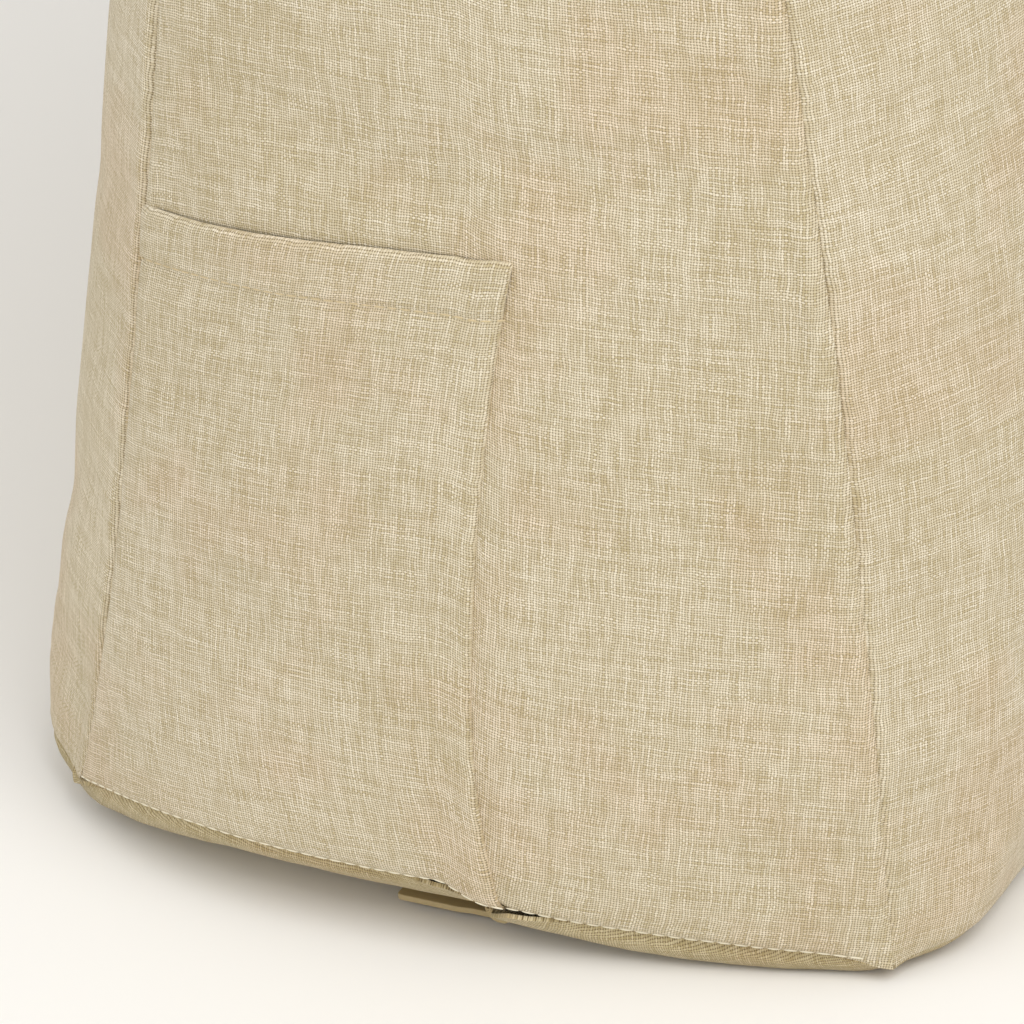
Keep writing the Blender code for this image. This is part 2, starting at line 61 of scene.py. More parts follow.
studio = {
    "azimuth": -65.2,
    "elevation": 28.3,
    "roll": -1.38,
    "distance": 1.7255,
    "lens": 282.7,
    "aim": (-0.320, -0.0198, 0.1112),  # on the left end panel, from the cushion's middle
    "floor": "#f4f2ee",
    "skyStrength": 0.77,
    "keyLight": (-38, 48, 2.4, 1.8, 25.0),  # azimuth, elevation, distance, size and power
    "fillLight": (-120, 30, 2.6, 2.0, 9.5),
    "lightAim": 0.2,  # height that the lights point at
    "floorSize": 12.0,
    "floorDrop": 0.0004,
}


def toLinear(hexColour):
    channels = [int(hexColour[i:i + 2], 16) / 255 for i in (1, 3, 5)]
    return tuple(c / 12.92 if c <= 0.04045 else ((c + 0.055) / 1.055) ** 2.4 for c in channels)


def addNode(tree, kind, inputs=(), **settings):
    node = tree.nodes.new(kind)
    for name, value in settings.items():
        setattr(node, name, value)
    for socket, value in (inputs.items() if isinstance(inputs, dict) else enumerate(inputs)):
        if isinstance(value, bpy.types.NodeSocket):
            tree.links.new(value, node.inputs[socket])
        elif value is not None:
            node.inputs[socket].default_value = value
    return node


def newObject(name, data):
    made = bpy.data.objects.new(name, data)
    bpy.context.scene.collection.objects.link(made)
    return made


def directionTo(azimuth, elevation):
    a, e = math.radians(azimuth), math.radians(elevation)
    return Vector((math.sin(a) * math.cos(e), -math.cos(a) * math.cos(e), math.sin(e)))


def makeCamera():
    back = directionTo(studio["azimuth"], studio["elevation"])
    aim = Vector(studio["aim"]) + Vector(middle)
    level = (-back).cross(Vector((0, 0, 1))).normalized()
    rise = level.cross(-back)
    roll = math.radians(studio["roll"])
    right = level * math.cos(roll) + rise * math.sin(roll)
    up = rise * math.cos(roll) - level * math.sin(roll)
    data = bpy.data.cameras.new("camera")
    data.lens = studio["lens"]
    data.sensor_width = 36.0
    data.clip_start, data.clip_end = 0.05, 50.0
    camera = newObject("camera", data)
    turn = Matrix((right, up, back)).transposed().to_4x4()
    camera.matrix_world = Matrix.Translation(aim + back * studio["distance"]) @ turn
    bpy.context.scene.camera = camera


def addAreaLight(name, azimuth, elevation, distance, size, power):
    data = bpy.data.lights.new(name, "AREA")
    data.shape = "DISK"
    data.size = size
    data.energy = power
    light = newObject(name, data)
    towards = directionTo(azimuth, elevation)
    light.location = Vector((0, 0, studio["lightAim"])) + towards * distance
    light.rotation_mode = "QUATERNION"
    light.rotation_quaternion = towards.to_track_quat("Z", "Y")


def makeStudio():
    floorMesh = bpy.data.meshes.new("floor")
    size = studio["floorSize"]
    corners = [(size * x, size * y, -studio["floorDrop"]) for x, y in ((-1, -1), (1, -1), (1, 1), (-1, 1))]
    floorMesh.from_pydata(corners, [], [(0, 1, 2, 3)])
    floor = newObject("floor", floorMesh)
    paint = bpy.data.materials.new("matt studio floor")
    paint.use_nodes = True
    shader = paint.node_tree.nodes["Principled BSDF"]
    shader.inputs["Base Color"].default_value = (*toLinear(studio["floor"]), 1)
    shader.inputs["Roughness"].default_value = 0.9
    floorMesh.materials.append(paint)

    world = bpy.data.worlds.new("soft white room")
    world.use_nodes = True
    sky = world.node_tree.nodes["Background"]
    sky.inputs["Color"].default_value = (1, 1, 1, 1)
    sky.inputs["Strength"].default_value = studio["skyStrength"]
    bpy.context.scene.world = world
    addAreaLight("key", *studio["keyLight"])
    addAreaLight("fill", *studio["fillLight"])
    bpy.context.scene.view_settings.view_transform = "Standard"


makeCamera()
makeStudio()
print("camera and studio ready")


# Shape of the stuffed cushion, in its own frame (metres, floor at 0)

cushion = {
    "halfLength": 0.300,
    "halfDepth": 0.100,
    "height": 0.500,
    "seamLift": (0.0034, 0.0070),  # base seam over the floor, at the front and back corners
    "seamFront": 0.0102,  # how much higher it climbs on each side of the zip
    "seamBack": 0.0096,
    "frontHandle": (-0.0976, 0.219),  # handles of the two side seams, as (y, z)
    "frontRidge": -0.030,
    "backHandle": (0.0563, 0.1495),
    "backRidge": 0.065,
    "endTuck": 0.0079,  # side seams stand out past the lower corners
    "tuckRise": 0.050,
    "endLow": 0.0262,  # fullness of the end panels, at the base and far up
    "endHigh": 0.0056,
    "endFade": 0.2218,
    "endPower": 2.38,
    "endSkew": 0.20,
    "baseFull": (0.0117, 0.0166),  # fullness of the long panels at the base seam
    "full": (0.030, 0.034),  # and higher up
    "baseRun": (0.012, 0.0085),  # distance from the end seam over which it builds up
    "run": (0.027, 0.0217),
    "fullRise": (0.050, 0.0216),
    "ridgeFull": 0.005,
    "rollDrop": 0.0028,  # how far the base bulges down, just under the end seam
    "rollFront": 0.0032,  # how much further, towards the front and back corners
    "rollBack": 0.0032,
    "rollRun": 0.0018,
    "rollEnd": 0.045,  # how far in the base reaches the floor
    "rollSide": 0.014,
    "zipHalf": 0.0070,  # half the bare width at the zip
    "channel": ((0.0070, 0.0066), (0.030, 0.0034), (0.040, 0.0)),  # base's height beside the zip
    "zipClosed": 0.013,  # the zip starts this far in from the end seam
    "zipTaper": 0.007,  # and is fully bare this much further
    "zipMeet": 0.0004,  # half the gap where the two halves of the base meet
    "zipEase": 0.030,  # how far from the zip the base gives way to it
    "shoulderDrop": 0.078,
    "arcDrop": 0.045,
}


def sideLift(side):
    return cushion["seamLift"][0 if side < 0 else 1]


def sideCurve(side, share):
    share = np.asarray(share, float)
    handle = cushion["frontHandle"] if side < 0 else cushion["backHandle"]
    ridge = cushion["frontRidge"] if side < 0 else cushion["backRidge"]
    points = [
        (side * cushion["halfDepth"], sideLift(side)),
        handle,
        (ridge, cushion["height"]),
        (0.0, cushion["height"]),
    ]
    rest = 1 - share
    weights = (rest**3, 3 * rest**2 * share, 3 * rest * share**2, share**3)
    y = sum(w * p[0] for w, p in zip(weights, points))
    z = sum(w * p[1] for w, p in zip(weights, points))
    return y, z


shareSteps = np.linspace(0, 1, 801)
sideTable = {side: sideCurve(side, shareSteps) for side in (-1, 1)}


def sideY(side, z):
    return np.interp(z, sideTable[side][1], sideTable[side][0])


def shareAtHeight(side, z):
    return np.interp(z, sideTable[side][1], shareSteps)


def smoothStep(x):
    x = np.clip(x, 0, 1)
    return x * x * (3 - 2 * x)


def baseSeamHeight(y):
    # the seam under an end panel hangs lower in front of the zip than behind it
    across = np.minimum(np.abs(y) / cushion["halfDepth"], 1)
    front = sideLift(-1) + cushion["seamFront"] * (1 - across**0.85)
    back = sideLift(1) + cushion["seamBack"] * (1 - across**4)
    return front + (back - front) * smoothStep((y + 0.014) / 0.011)


def endReach(y, z):
    front, back = sideY(-1, z), sideY(1, z)
    half = np.maximum((back - front) / 2, 1e-5)
    across = np.clip((y - (front + back) / 2) / half, -1, 1)
    across = across - cushion["endSkew"] * (1 - across**2)
    fade = 1 - np.exp(-z / cushion["endFade"])
    full = cushion["endLow"] + (cushion["endHigh"] - cushion["endLow"]) * fade
    full = full * (1 - (z / cushion["height"]) ** 6)
    tuck = cushion["endTuck"] * (1 - np.exp(-np.maximum(z - 0.005, 0) / cushion["tuckRise"]))
    return tuck + full * (1 - np.abs(across) ** cushion["endPower"])


def facePoint(side, along, share):
    y, z = sideCurve(side, share)
    small = 0.001
    yNext, zNext = sideCurve(side, np.clip(share + small, 0, 1))
    yLast, zLast = sideCurve(side, np.clip(share - small, 0, 1))
    normalY, normalZ = side * (zNext - zLast), -side * (yNext - yLast)
    size = np.hypot(normalY, normalZ)
    normalY, normalZ = normalY / size, normalZ / size
    reach = endReach(y, z)
    x = along * (cushion["halfLength"] + reach)
    fromEnd = cushion["halfLength"] * (1 - np.abs(along))
    which = 0 if side < 0 else 1
    rise = 1 - np.exp(-(z - sideLift(side)) / cushion["fullRise"][which])
    run = cushion["baseRun"][which] + (cushion["run"][which] - cushion["baseRun"][which]) * rise
    power = 1.9 - 0.75 * rise
    edge = 1 - np.exp(-((fromEnd / run) ** power))
    fade = share**4
    full = cushion["baseFull"][which] + (cushion["full"][which] - cushion["baseFull"][which]) * rise
    swell = edge * (full * (1 - fade) + cushion["ridgeFull"] * fade)
    return np.stack([x + 0 * y, y + normalY * swell, z + normalZ * swell], -1)


# Coarse grids of every panel, sharing their border points

def makeColumns():
    # y of the base's columns, front to back, with the zip's two edges among them
    half, gap = cushion["halfDepth"], cushion["zipHalf"]
    front = np.linspace(-half, zipY - gap, 11)
    back = np.linspace(zipY + gap, half, 14)
    return np.concatenate([front, [zipY], back]), 10, 12


columnY, zipFrontColumn, zipBackColumn = makeColumns()
lastColumn = len(columnY) - 1
ridgeColumn = 12
straightRows = 38  # rows of the end panels up to the shoulder
shoulderRows = 6  # rows from there to the arc over the ridge
stationCount = 61


def makeStations():
    # along X, from -1 to 1, closer together towards the two ends
    even = np.linspace(-1, 1, stationCount)
    return 0.45 * even + 0.55 * np.sin(even * math.pi / 2)


def closedY(y):
    # where a point beside the zip goes once the two halves of the base meet over it
    fromZip = y - zipY
    bareHalf = cushion["zipHalf"]
    closed = np.sign(fromZip) * np.maximum(np.abs(fromZip) - bareHalf + cushion["zipMeet"], 0) * 1.1
    near = np.clip(1 - (np.abs(fromZip) - bareHalf) / cushion["zipEase"], 0, 1)
    return y + (closed - fromZip) * near


def basePoint(y, along):
    reach = endReach(y, baseSeamHeight(y))
    x = along * (cushion["halfLength"] + reach)
    fromEnd = (cushion["halfLength"] + reach) * (1 - np.abs(along))
    isBack = y > 0
    edge = 1 - np.exp(-((fromEnd / np.where(isBack, *cushion["baseRun"][::-1])) ** 1.9))
    across = y / cushion["halfDepth"]
    swell = np.where(isBack, *cushion["baseFull"][::-1]) * edge * across**3
    # the two halves meet at the zip's ends, and leave the zip bare between them
    bare = smoothStep((fromEnd - cushion["zipClosed"]) / cushion["zipTaper"])
    fromZip = y - zipY
    yNow = y + (closedY(y) - y) * (1 - bare)
    fromSide = cushion["halfDepth"] * (1 - np.abs(across))
    drop = cushion["rollDrop"] + cushion["rollFront"] * smoothStep((-y - 0.015) / 0.03)
    drop = drop + cushion["rollBack"] * smoothStep((y - 0.045) / 0.035)
    seam = baseSeamHeight(y)
    ramp = np.maximum(seam - drop, 0) * np.maximum(0, 1 - fromEnd / cushion["rollEnd"]) ** 1.6
    end = ramp + np.minimum(drop, seam) * np.exp(-fromEnd / cushion["rollRun"])
    lift = np.where(isBack, *cushion["seamLift"][::-1])
    side = lift * np.maximum(0, 1 - fromSide / cushion["rollSide"]) ** 2.2
    steps = [(0.0, cushion["channel"][0][1]), *cushion["channel"], (1.0, 0.0)]
    channel = np.interp(np.abs(fromZip), [step[0] for step in steps], [step[1] for step in steps])
    channel = channel + 0 * along
    z = np.maximum(np.maximum(end, side), channel)
    return np.stack([x + 0 * y, yNow + swell + 0 * x, z + 0 * x], -1)


def makeGrids():
    stations = makeStations()
    rowCount = straightRows + shoulderRows
    shoulder = cushion["height"] - cushion["shoulderDrop"]
    arcStart = cushion["height"] - cushion["arcDrop"]
    grids = {}
    for side, name, arcCount in ((-1, "front", ridgeColumn), (1, "back", lastColumn - ridgeColumn)):
        start = shareAtHeight(side, arcStart)
        arc = np.linspace(start, 1, arcCount + 1)[1:]
        lift = sideLift(side)
        heights = np.concatenate([
            lift + (shoulder - lift) * np.linspace(0, 1, straightRows + 1),
            np.linspace(shoulder, arcStart, shoulderRows + 1)[1:],
        ])
        shares = np.concatenate([[0.0], shareAtHeight(side, heights[1:]), arc])
        grids[name] = facePoint(side, stations[None, :], shares[:, None])
    # the ridge is one line for both long panels
    ridge = (grids["front"][-1] + grids["back"][-1]) / 2
    grids["front"][-1], grids["back"][-1] = ridge, ridge

    for name, side, station in (("endLeft", -1, 0), ("endRight", 1, -1)):
        grid = np.zeros((rowCount + 1, lastColumn + 1, 3))
        frontEdge, backEdge = grids["front"][:, station], grids["back"][:, station]
        lift = baseSeamHeight(columnY)
        topEdge = np.concatenate([
            frontEdge[rowCount:rowCount + ridgeColumn + 1],
            backEdge[rowCount:rowCount + lastColumn - ridgeColumn][::-1],
        ])
        shareAcross = (columnY - columnY[0]) / (columnY[-1] - columnY[0])
        for row in range(rowCount + 1):
            if row <= straightRows:
                z = lift + (shoulder - lift) * row / straightRows
                frontY, backY = sideY(-1, z), sideY(1, z)
                y = frontY + (backY - frontY) * shareAcross
                if row == 0:
                    y = columnY.copy()
            else:
                up = (row - straightRows) / shoulderRows
                zEdge = shoulder + (arcStart - shoulder) * up
                y0, y1 = sideY(-1, shoulder), sideY(1, shoulder)
                yBase = y0 + (y1 - y0) * shareAcross
                y = (1 - up) * yBase + up * topEdge[:, 1]
                z = (1 - up) * shoulder + up * topEdge[:, 2]
                for edgeSide, weight in ((-1, 1 - shareAcross), (1, shareAcross)):
                    column = 0 if edgeSide < 0 else -1
                    y = y + weight * (sideY(edgeSide, zEdge) - y[column]) * (1 if up < 1 else 0)
            grid[row] = np.stack([side * (cushion["halfLength"] + endReach(y, z)), y, z], -1)
        grid[:, 0] = frontEdge[:rowCount + 1]
        grid[:, -1] = backEdge[:rowCount + 1]
        grid[-1] = topEdge
        grids[name] = grid

    base = basePoint(columnY[:, None], stations[None, :])
    # the base follows the long panels' lower edges, which the stuffing lifts
    for edge, row in (("front", 0), ("back", -1)):
        away = np.exp(-((np.abs(columnY - columnY[row]) / 0.012) ** 1.5))
        base += away[:, None, None] * (grids[edge][0] - base[row])[None]
    base[..., 2] = np.maximum(base[..., 2], 0.0)
    base[0], base[-1] = grids["front"][0], grids["back"][0]
    base[:, 0], base[:, -1] = grids["endLeft"][0], grids["endRight"][0]
    grids["baseFront"] = base[:zipFrontColumn + 1]
    grids["zipStrip"] = base[zipFrontColumn:zipBackColumn + 1]
    grids["baseBack"] = base[zipBackColumn:]
    return grids


def gridQuads(index):
    return np.stack([index[:-1, :-1], index[:-1, 1:], index[1:, 1:], index[1:, :-1]], -1).reshape(-1, 4)


def weldGrids(grids, outwards):
    # one closed mesh from all the grids: its points, its faces and each grid's own point numbers
    points = np.concatenate([grid.reshape(-1, 3) for grid in grids.values()])
    _, first, number = np.unique(np.round(points, 7), axis=0, return_index=True, return_inverse=True)
    number = number.reshape(-1)
    index, start, faces = {}, 0, []
    for name, grid in grids.items():
        count = grid.shape[0] * grid.shape[1]
        index[name] = number[start:start + count].reshape(grid.shape[:2])
        start += count
        quads = gridQuads(index[name])
        faces.append(quads if outwards[name] else quads[:, ::-1])
    return points[first], np.concatenate(faces), index


outwards = {
    "front": True, "back": False, "endLeft": False, "endRight": True,
    "baseFront": False, "zipStrip": False, "baseBack": False,
}


def meshFrom(name, points, faces):
    mesh = bpy.data.meshes.new(name)
    mesh.from_pydata(points.tolist(), [], faces.tolist())
    mesh.update()
    return mesh


# The stuffing pushes the panels out: cloth under pressure, held at the seams

puff = {
    "pressure": 4.0,
    "frames": 20,
    "quality": 6,
    "mass": 0.3,
    "stretch": 25,
    "shear": 12,
    "bend": 0.8,
    "cap": 0.005,  # how far a point may move
    "share": 0.30,
    "slack": 0.012,  # extra cloth, as a share
}


def puffOut(grids):
    points, faces, index = weldGrids(grids, outwards)
    mesh = meshFrom("stuffing form", points, faces)
    form = newObject("stuffingForm", mesh)
    pinned = set()
    for name in ("baseFront", "zipStrip", "baseBack"):
        pinned.update(index[name].reshape(-1).tolist())
    for name in ("front", "back", "endLeft", "endRight"):
        edge = index[name]
        for line in (edge[0], edge[-1], edge[:, 0], edge[:, -1]):
            pinned.update(line.tolist())
    group = form.vertex_groups.new(name="seams")
    group.add(sorted(pinned), 1.0, "REPLACE")
    cloth = form.modifiers.new("cloth", "CLOTH")
    settings = cloth.settings
    settings.quality = puff["quality"]
    settings.mass = puff["mass"]
    settings.tension_stiffness = puff["stretch"]
    settings.compression_stiffness = puff["stretch"]
    settings.shear_stiffness = puff["shear"]
    settings.bending_stiffness = puff["bend"]
    settings.use_pressure = True
    settings.uniform_pressure_force = puff["pressure"]
    settings.shrink_min = -puff["slack"]
    settings.vertex_group_mass = "seams"
    settings.effector_weights.gravity = 0.0
    cloth.collision_settings.use_collision = False
    cloth.collision_settings.use_self_collision = False
    scene = bpy.context.scene
    scene.frame_start, scene.frame_end = 1, puff["frames"]
    for step in range(1, puff["frames"] + 1):
        scene.frame_set(step)
    evaluated = form.evaluated_get(bpy.context.evaluated_depsgraph_get())
    moved = np.empty(len(points) * 3, np.float32)
    evaluated.data.vertices.foreach_get("co", moved)
    scene.frame_set(1)
    bpy.data.objects.remove(form, do_unlink=True)
    move = (moved.reshape(-1, 3) - points) * puff["share"]
    size = np.linalg.norm(move, axis=1, keepdims=True)
    print("largest move by the stuffing, mm:", round(float(size.max()) * 1000, 2))
    move *= np.minimum(1, puff["cap"] / np.maximum(size, 1e-9))
    points = points + move
    return {name: points[number] for name, number in index.items()}


# Fine panels, read from the coarse grids

def curveWeights(part):
    part2, part3 = part * part, part * part * part
    return np.stack([
        -0.5 * part + part2 - 0.5 * part3,
        1 - 2.5 * part2 + 1.5 * part3,
        0.5 * part + 2 * part2 - 1.5 * part3,
        -0.5 * part2 + 0.5 * part3,
    ], -1)


def readGrid(grid, row, column):
    # smooth point of the grid at fractional row and column numbers
    rows, columns = grid.shape[:2]
    wide = np.pad(grid, ((1, 1), (1, 1), (0, 0)), mode="reflect", reflect_type="odd")
    row, column = np.broadcast_arrays(np.clip(row, 0, rows - 1), np.clip(column, 0, columns - 1))
    j = np.minimum(row.astype(int), rows - 2)
    i = np.minimum(column.astype(int), columns - 2)
    rowWeight, columnWeight = curveWeights(row - j), curveWeights(column - i)
    total = np.zeros(row.shape + (3,))
    for a in range(4):
        for b in range(4):
            total += (rowWeight[..., a] * columnWeight[..., b])[..., None] * wide[j + a, i + b]
    return total


def lineNumbers(grid, axis):
    # for each share of the way along the axis, the fractional line number there
    steps = np.linalg.norm(np.diff(grid, axis=axis), axis=-1)
    mean = steps.mean(axis=1 - axis)
    length = np.concatenate([[0], np.cumsum(mean)])
    return length / length[-1], float(length[-1])


seamSteps = np.array([0, 0.3, 0.65, 1.05, 1.5, 2.0, 2.6, 3.4, 4.4, 5.6, 7.0]) / 1000


def fineShares(length, step):
    # shares of the way across, close together beside the seams at both ends
    count = max(2, int(round((length - 2 * seamSteps[-1]) / step)))
    inner = np.linspace(seamSteps[-1], length - seamSteps[-1], count + 1)[1:-1]
    return np.concatenate([seamSteps, inner, (length - seamSteps)[::-1]]) / length


def surfaceNormals(points):
    across = np.gradient(points, axis=1)
    up = np.gradient(points, axis=0)
    normal = np.cross(across, up)
    size = np.linalg.norm(normal, axis=-1, keepdims=True)
    return normal / np.maximum(size, 1e-12)


def alongLengths(points, axis):
    steps = np.linalg.norm(np.diff(points, axis=axis), axis=-1)
    total = np.cumsum(steps, axis=axis)
    pad = [(0, 0), (0, 0)]
    pad[axis] = (1, 0)
    return np.pad(total, pad)


def ripple(along, seed, wave=0.021):
    # gentle uneven wave along a seam
    turn = 2 * math.pi * along / wave
    return (
        np.sin(turn + seed * 1.7)
        + 0.7 * np.sin(turn * 0.43 + seed * 2.9)
        + 0.5 * np.sin(turn * 1.9 + seed * 0.6)
    ) / 2.2


clothSettings = {
    "step": 0.0034,  # spacing of the fine lines
    "wall": 0.0010,
    "grooveDepth": 0.0023,
    "grooveWidth": 0.0015,
    "pucker": 0.00032,
    "allowance": 0.0006,  # step where the seam allowance ends, inside
    "allowanceWidth": 0.0052,
    "stitchLine": 0.0022,  # topstitch row over the base seam
    "stitchPull": 0.00030,
    "underPocket": 0.0011,  # how far the end panel gives way under the pocket
    "pocketSeam": 0.0007,  # and along the pocket's sewn edge
}


def finePanel(grid, seed, flip, deeper=(), folded=()):
    columnShare, width = lineNumbers(grid, 1)
    rowShare, height = lineNumbers(grid, 0)
    across = fineShares(width, clothSettings["step"])
    up = fineShares(height, clothSettings["step"])
    column = np.interp(across, columnShare, np.arange(len(columnShare)))
    row = np.interp(up, rowShare, np.arange(len(rowShare)))
    points = readGrid(grid, row[:, None], column[None, :])
    normal = surfaceNormals(points) * (-1 if flip else 1)
    u = alongLengths(points, 1)
    v = alongLengths(points, 0)
    fromLeft, fromRight = u, u[:, -1:] - u
    fromBottom, fromTop = v, v[-1:] - v
    settings = clothSettings
    sink = np.zeros(u.shape)
    toSides, toEnds = np.minimum(fromLeft, fromRight), np.minimum(fromBottom, fromTop)
    borders = (
        (fromLeft, v, 1, toEnds), (fromRight, v, 2, toEnds),
        (fromBottom, u, 3, toSides), (fromTop, u, 4, toSides),
    )
    for distance, along, number, toCorner in borders:
        depth = settings["grooveDepth"] * (1 + 0.5 * (number in deeper)) * (number not in folded)
        depth = depth * (1 - np.exp(-((toCorner / 0.012) ** 2)))
        sink += depth * np.exp(-((distance / settings["grooveWidth"]) ** 1.5))
        wave = ripple(along, seed + number)
        wave = wave * (1 - np.exp(-((toCorner / 0.015) ** 2)))
        sink += settings["pucker"] * wave * np.exp(-distance / 0.009) * (1 - np.exp(-distance / 0.002))
    sink = np.minimum(sink, settings["grooveDepth"] * 1.5)
    centre = u[:, u.shape[1] // 2][:, None]
    uv = np.stack([u - centre, np.repeat(v[:, [v.shape[1] // 2]], v.shape[1], axis=1)], -1)
    return {
        "points": points, "normal": normal, "sink": sink, "uv": uv,
        "u": u, "v": v, "row": row, "column": column,
    }


def shellObject(name, outer, inner, uv, material):
    rows, columns = outer.shape[:2]
    count = rows * columns
    index = np.arange(count).reshape(rows, columns)
    quads = gridQuads(index)
    border = np.concatenate([index[0], index[1:, -1], index[-1, :-1][::-1], index[1:-1, 0][::-1]])
    after = np.roll(border, -1)
    sides = np.stack([after, border, border + count, after + count], -1)
    faces = np.concatenate([quads, quads[:, ::-1] + count, sides])
    points = np.concatenate([outer.reshape(-1, 3), inner.reshape(-1, 3)]) + middle
    corner = points[faces[:, 0]]
    volume = sum(
        np.einsum("ij,ij->i", corner, np.cross(points[faces[:, k]], points[faces[:, k + 1]])).sum()
        for k in (1, 2)
    )
    if volume < 0:
        faces = faces[:, ::-1]
    mesh = meshFrom(name, points, faces)
    layer = mesh.uv_layers.new(name="cloth")
    both = np.concatenate([uv.reshape(-1, 2)] * 2)
    layer.data.foreach_set("uv", both[faces.reshape(-1)].astype(np.float32).reshape(-1))
    mesh.materials.append(material)
    mesh.shade_smooth()
    mesh.set_sharp_from_angle(angle=math.radians(60))
    return newObject(name, mesh)


def settle(piece, body, slot, *nodes):
    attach(piece, body)
    if nodes:
        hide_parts(*nodes)


# Materials

def newMaterial(name, roughness, sheen=0.0):
    material = bpy.data.materials.new(name)
    material.use_nodes = True
    shader = material.node_tree.nodes["Principled BSDF"]
    shader.inputs["Roughness"].default_value = roughness
    if sheen:
        shader.inputs["Sheen Weight"].default_value = sheen
        shader.inputs["Sheen Roughness"].default_value = 0.5
    return material, material.node_tree, shader


linen = {
    "warpPitch": 0.00063,  # about 16 yarns to the centimetre
    "weftPitch": 0.00059,
    "light": "#efe4cc",
    "dark": "#c4b48e",
    "pink": "#fff5f1",  # tint of the washed patches
    # colour of the hollows between yarns: painted shade
    "gap": "#7f6d4a",
    "toneSpread": 2.0,
    "bump": 0.7,
}


def makeLinen(name, tint):
    # Plain-weave slub polyester, piece dyed: reads as oatmeal linen, with uneven yarns both ways
    material, tree, shader = newMaterial(name, 0.88, sheen=0.12)
    cloth = addNode(tree, "ShaderNodeUVMap", uv_map="cloth").outputs[0]
    split = addNode(tree, "ShaderNodeSeparateXYZ", (cloth,))
    found = {"cloth": cloth, "u": split.outputs[0], "v": split.outputs[1]}
    # each step: its name, what it does, and the numbers and earlier steps that it works on
    steps = (
        # yarns wander a little to each side
        ("warpNoise", "noise", "cloth", None, 160.0, 2.0, 0.5),
        ("warpOff", "SUBTRACT", "warpNoise", 0.5),
        ("warpDrift", "MULTIPLY", "warpOff", 1.3),
        ("weftNoise", "noise", "cloth", None, 210.0, 2.0, 0.5),
        ("weftOff", "SUBTRACT", "weftNoise", 0.5),
        ("weftDrift", "MULTIPLY", "weftOff", 1.3),
        ("warpCount", "DIVIDE", "u", linen["warpPitch"]),
        ("warpPlace", "ADD", "warpCount", "warpDrift"),
        ("weftCount", "DIVIDE", "v", linen["weftPitch"]),
        ("weftPlace", "ADD", "weftCount", "weftDrift"),
        ("warpNumber", "FLOOR", "warpPlace"),
        ("weftNumber", "FLOOR", "weftPlace"),
        # round yarns that go over and under by turns
        ("warpPart", "FRACT", "warpPlace"),
        ("warpTurn", "MULTIPLY", "warpPart", math.pi),
        ("warpRound", "SINE", "warpTurn"),
        ("weftPart", "FRACT", "weftPlace"),
        ("weftTurn", "MULTIPLY", "weftPart", math.pi),
        ("weftRound", "SINE", "weftTurn"),
        ("crossing", "ADD", "warpNumber", "weftNumber"),
        ("crossingUp", "ADD", "crossing", 20000.0),
        ("parity", "MODULO", "crossingUp", 2.0),
        ("parityWide", "MULTIPLY", "parity", 2.0),
        ("sign", "SUBTRACT", "parityWide", 1.0),
        ("overWeft", "MULTIPLY", "weftRound", "sign"),
        ("warpLift", "MULTIPLY_ADD", "overWeft", 0.45, 0.55),
        ("warpTop", "MULTIPLY", "warpRound", "warpLift"),
        ("overWarp", "MULTIPLY", "warpRound", "sign"),
        ("weftLift", "MULTIPLY_ADD", "overWarp", -0.45, 0.55),
        ("weftTop", "MULTIPLY", "weftRound", "weftLift"),
        ("relief", "MAXIMUM", "warpTop", "weftTop"),
        ("onWarp", "GREATER_THAN", "warpTop", "weftTop"),
        # each yarn has its own tone, which changes slowly along it
        ("warpRow", "MULTIPLY", "warpNumber", 7.31),
        ("warpRun", "MULTIPLY", "v", 95.0),
        ("warpSpot", "join", "warpRow", "warpRun", 0.0),
        ("warpTone", "noise", "warpSpot", None, 1.0, 1.0, 0.5),
        ("weftRun", "MULTIPLY", "u", 75.0),
        ("weftRow", "MULTIPLY", "weftNumber", 7.31),
        ("weftSpot", "join", "weftRun", "weftRow", 0.0),
        ("weftTone", "noise", "weftSpot", None, 1.0, 1.0, 0.5),
        ("yarnTone", "mix", "onWarp", None, "weftTone", "warpTone"),
        # slubs, washed patches and loose fibres change it further
        ("slubRow", "MULTIPLY", "warpNumber", 3.17),
        ("slubRun", "MULTIPLY", "weftNumber", 0.11),
        ("slubSpot", "join", "slubRow", "slubRun", 0.0),
        ("slub", "noise", "slubSpot", None, 1.0, 2.0, 0.5),
        ("slubOff", "SUBTRACT", "slub", 0.5),
        ("slubShare", "MULTIPLY", "slubOff", 0.35),
        ("slubTone", "ADD", "yarnTone", "slubShare"),
        ("slubToneOff", "SUBTRACT", "slubTone", 0.5),
        ("spreadTone", "MULTIPLY_ADD", "slubToneOff", linen["toneSpread"], 0.5),
        ("patch", "noise", "cloth", None, 11.0, 3.0, 0.55),
        ("patchOff", "SUBTRACT", "patch", 0.5),
        ("patchShare", "MULTIPLY", "patchOff", 0.5),
        ("patchTone", "ADD", "spreadTone", "patchShare"),
        ("fine", "noise", "cloth", None, 1500.0, 2.0, 0.6),
        ("fineOff", "SUBTRACT", "fine", 0.5),
        ("fineShare", "MULTIPLY", "fineOff", 0.5),
        ("tone", "ADD", "patchTone", "fineShare"),
        # washed patches look pinker than the rest
        ("blushNoise", "noise", "cloth", None, 17.0, 3.0, 0.6),
        ("blush", "range", "blushNoise", 0.50, 0.66),
        ("blushShare", "MULTIPLY", "blush", 0.6),
        ("shade", "range", "relief", 0.18, 0.62),
    )
    kinds = {
        "noise": ("ShaderNodeTexNoise", {"noise_dimensions": "2D"}),
        "join": ("ShaderNodeCombineXYZ", {}),
        "mix": ("ShaderNodeMix", {"data_type": "FLOAT"}),
        "range": ("ShaderNodeMapRange", {}),
    }
    for step, work, *values in steps:
        kind, settings = kinds.get(work, ("ShaderNodeMath", {"operation": work}))
        values = [found.get(value, value) for value in values]
        found[step] = addNode(tree, kind, values, **settings).outputs[0]

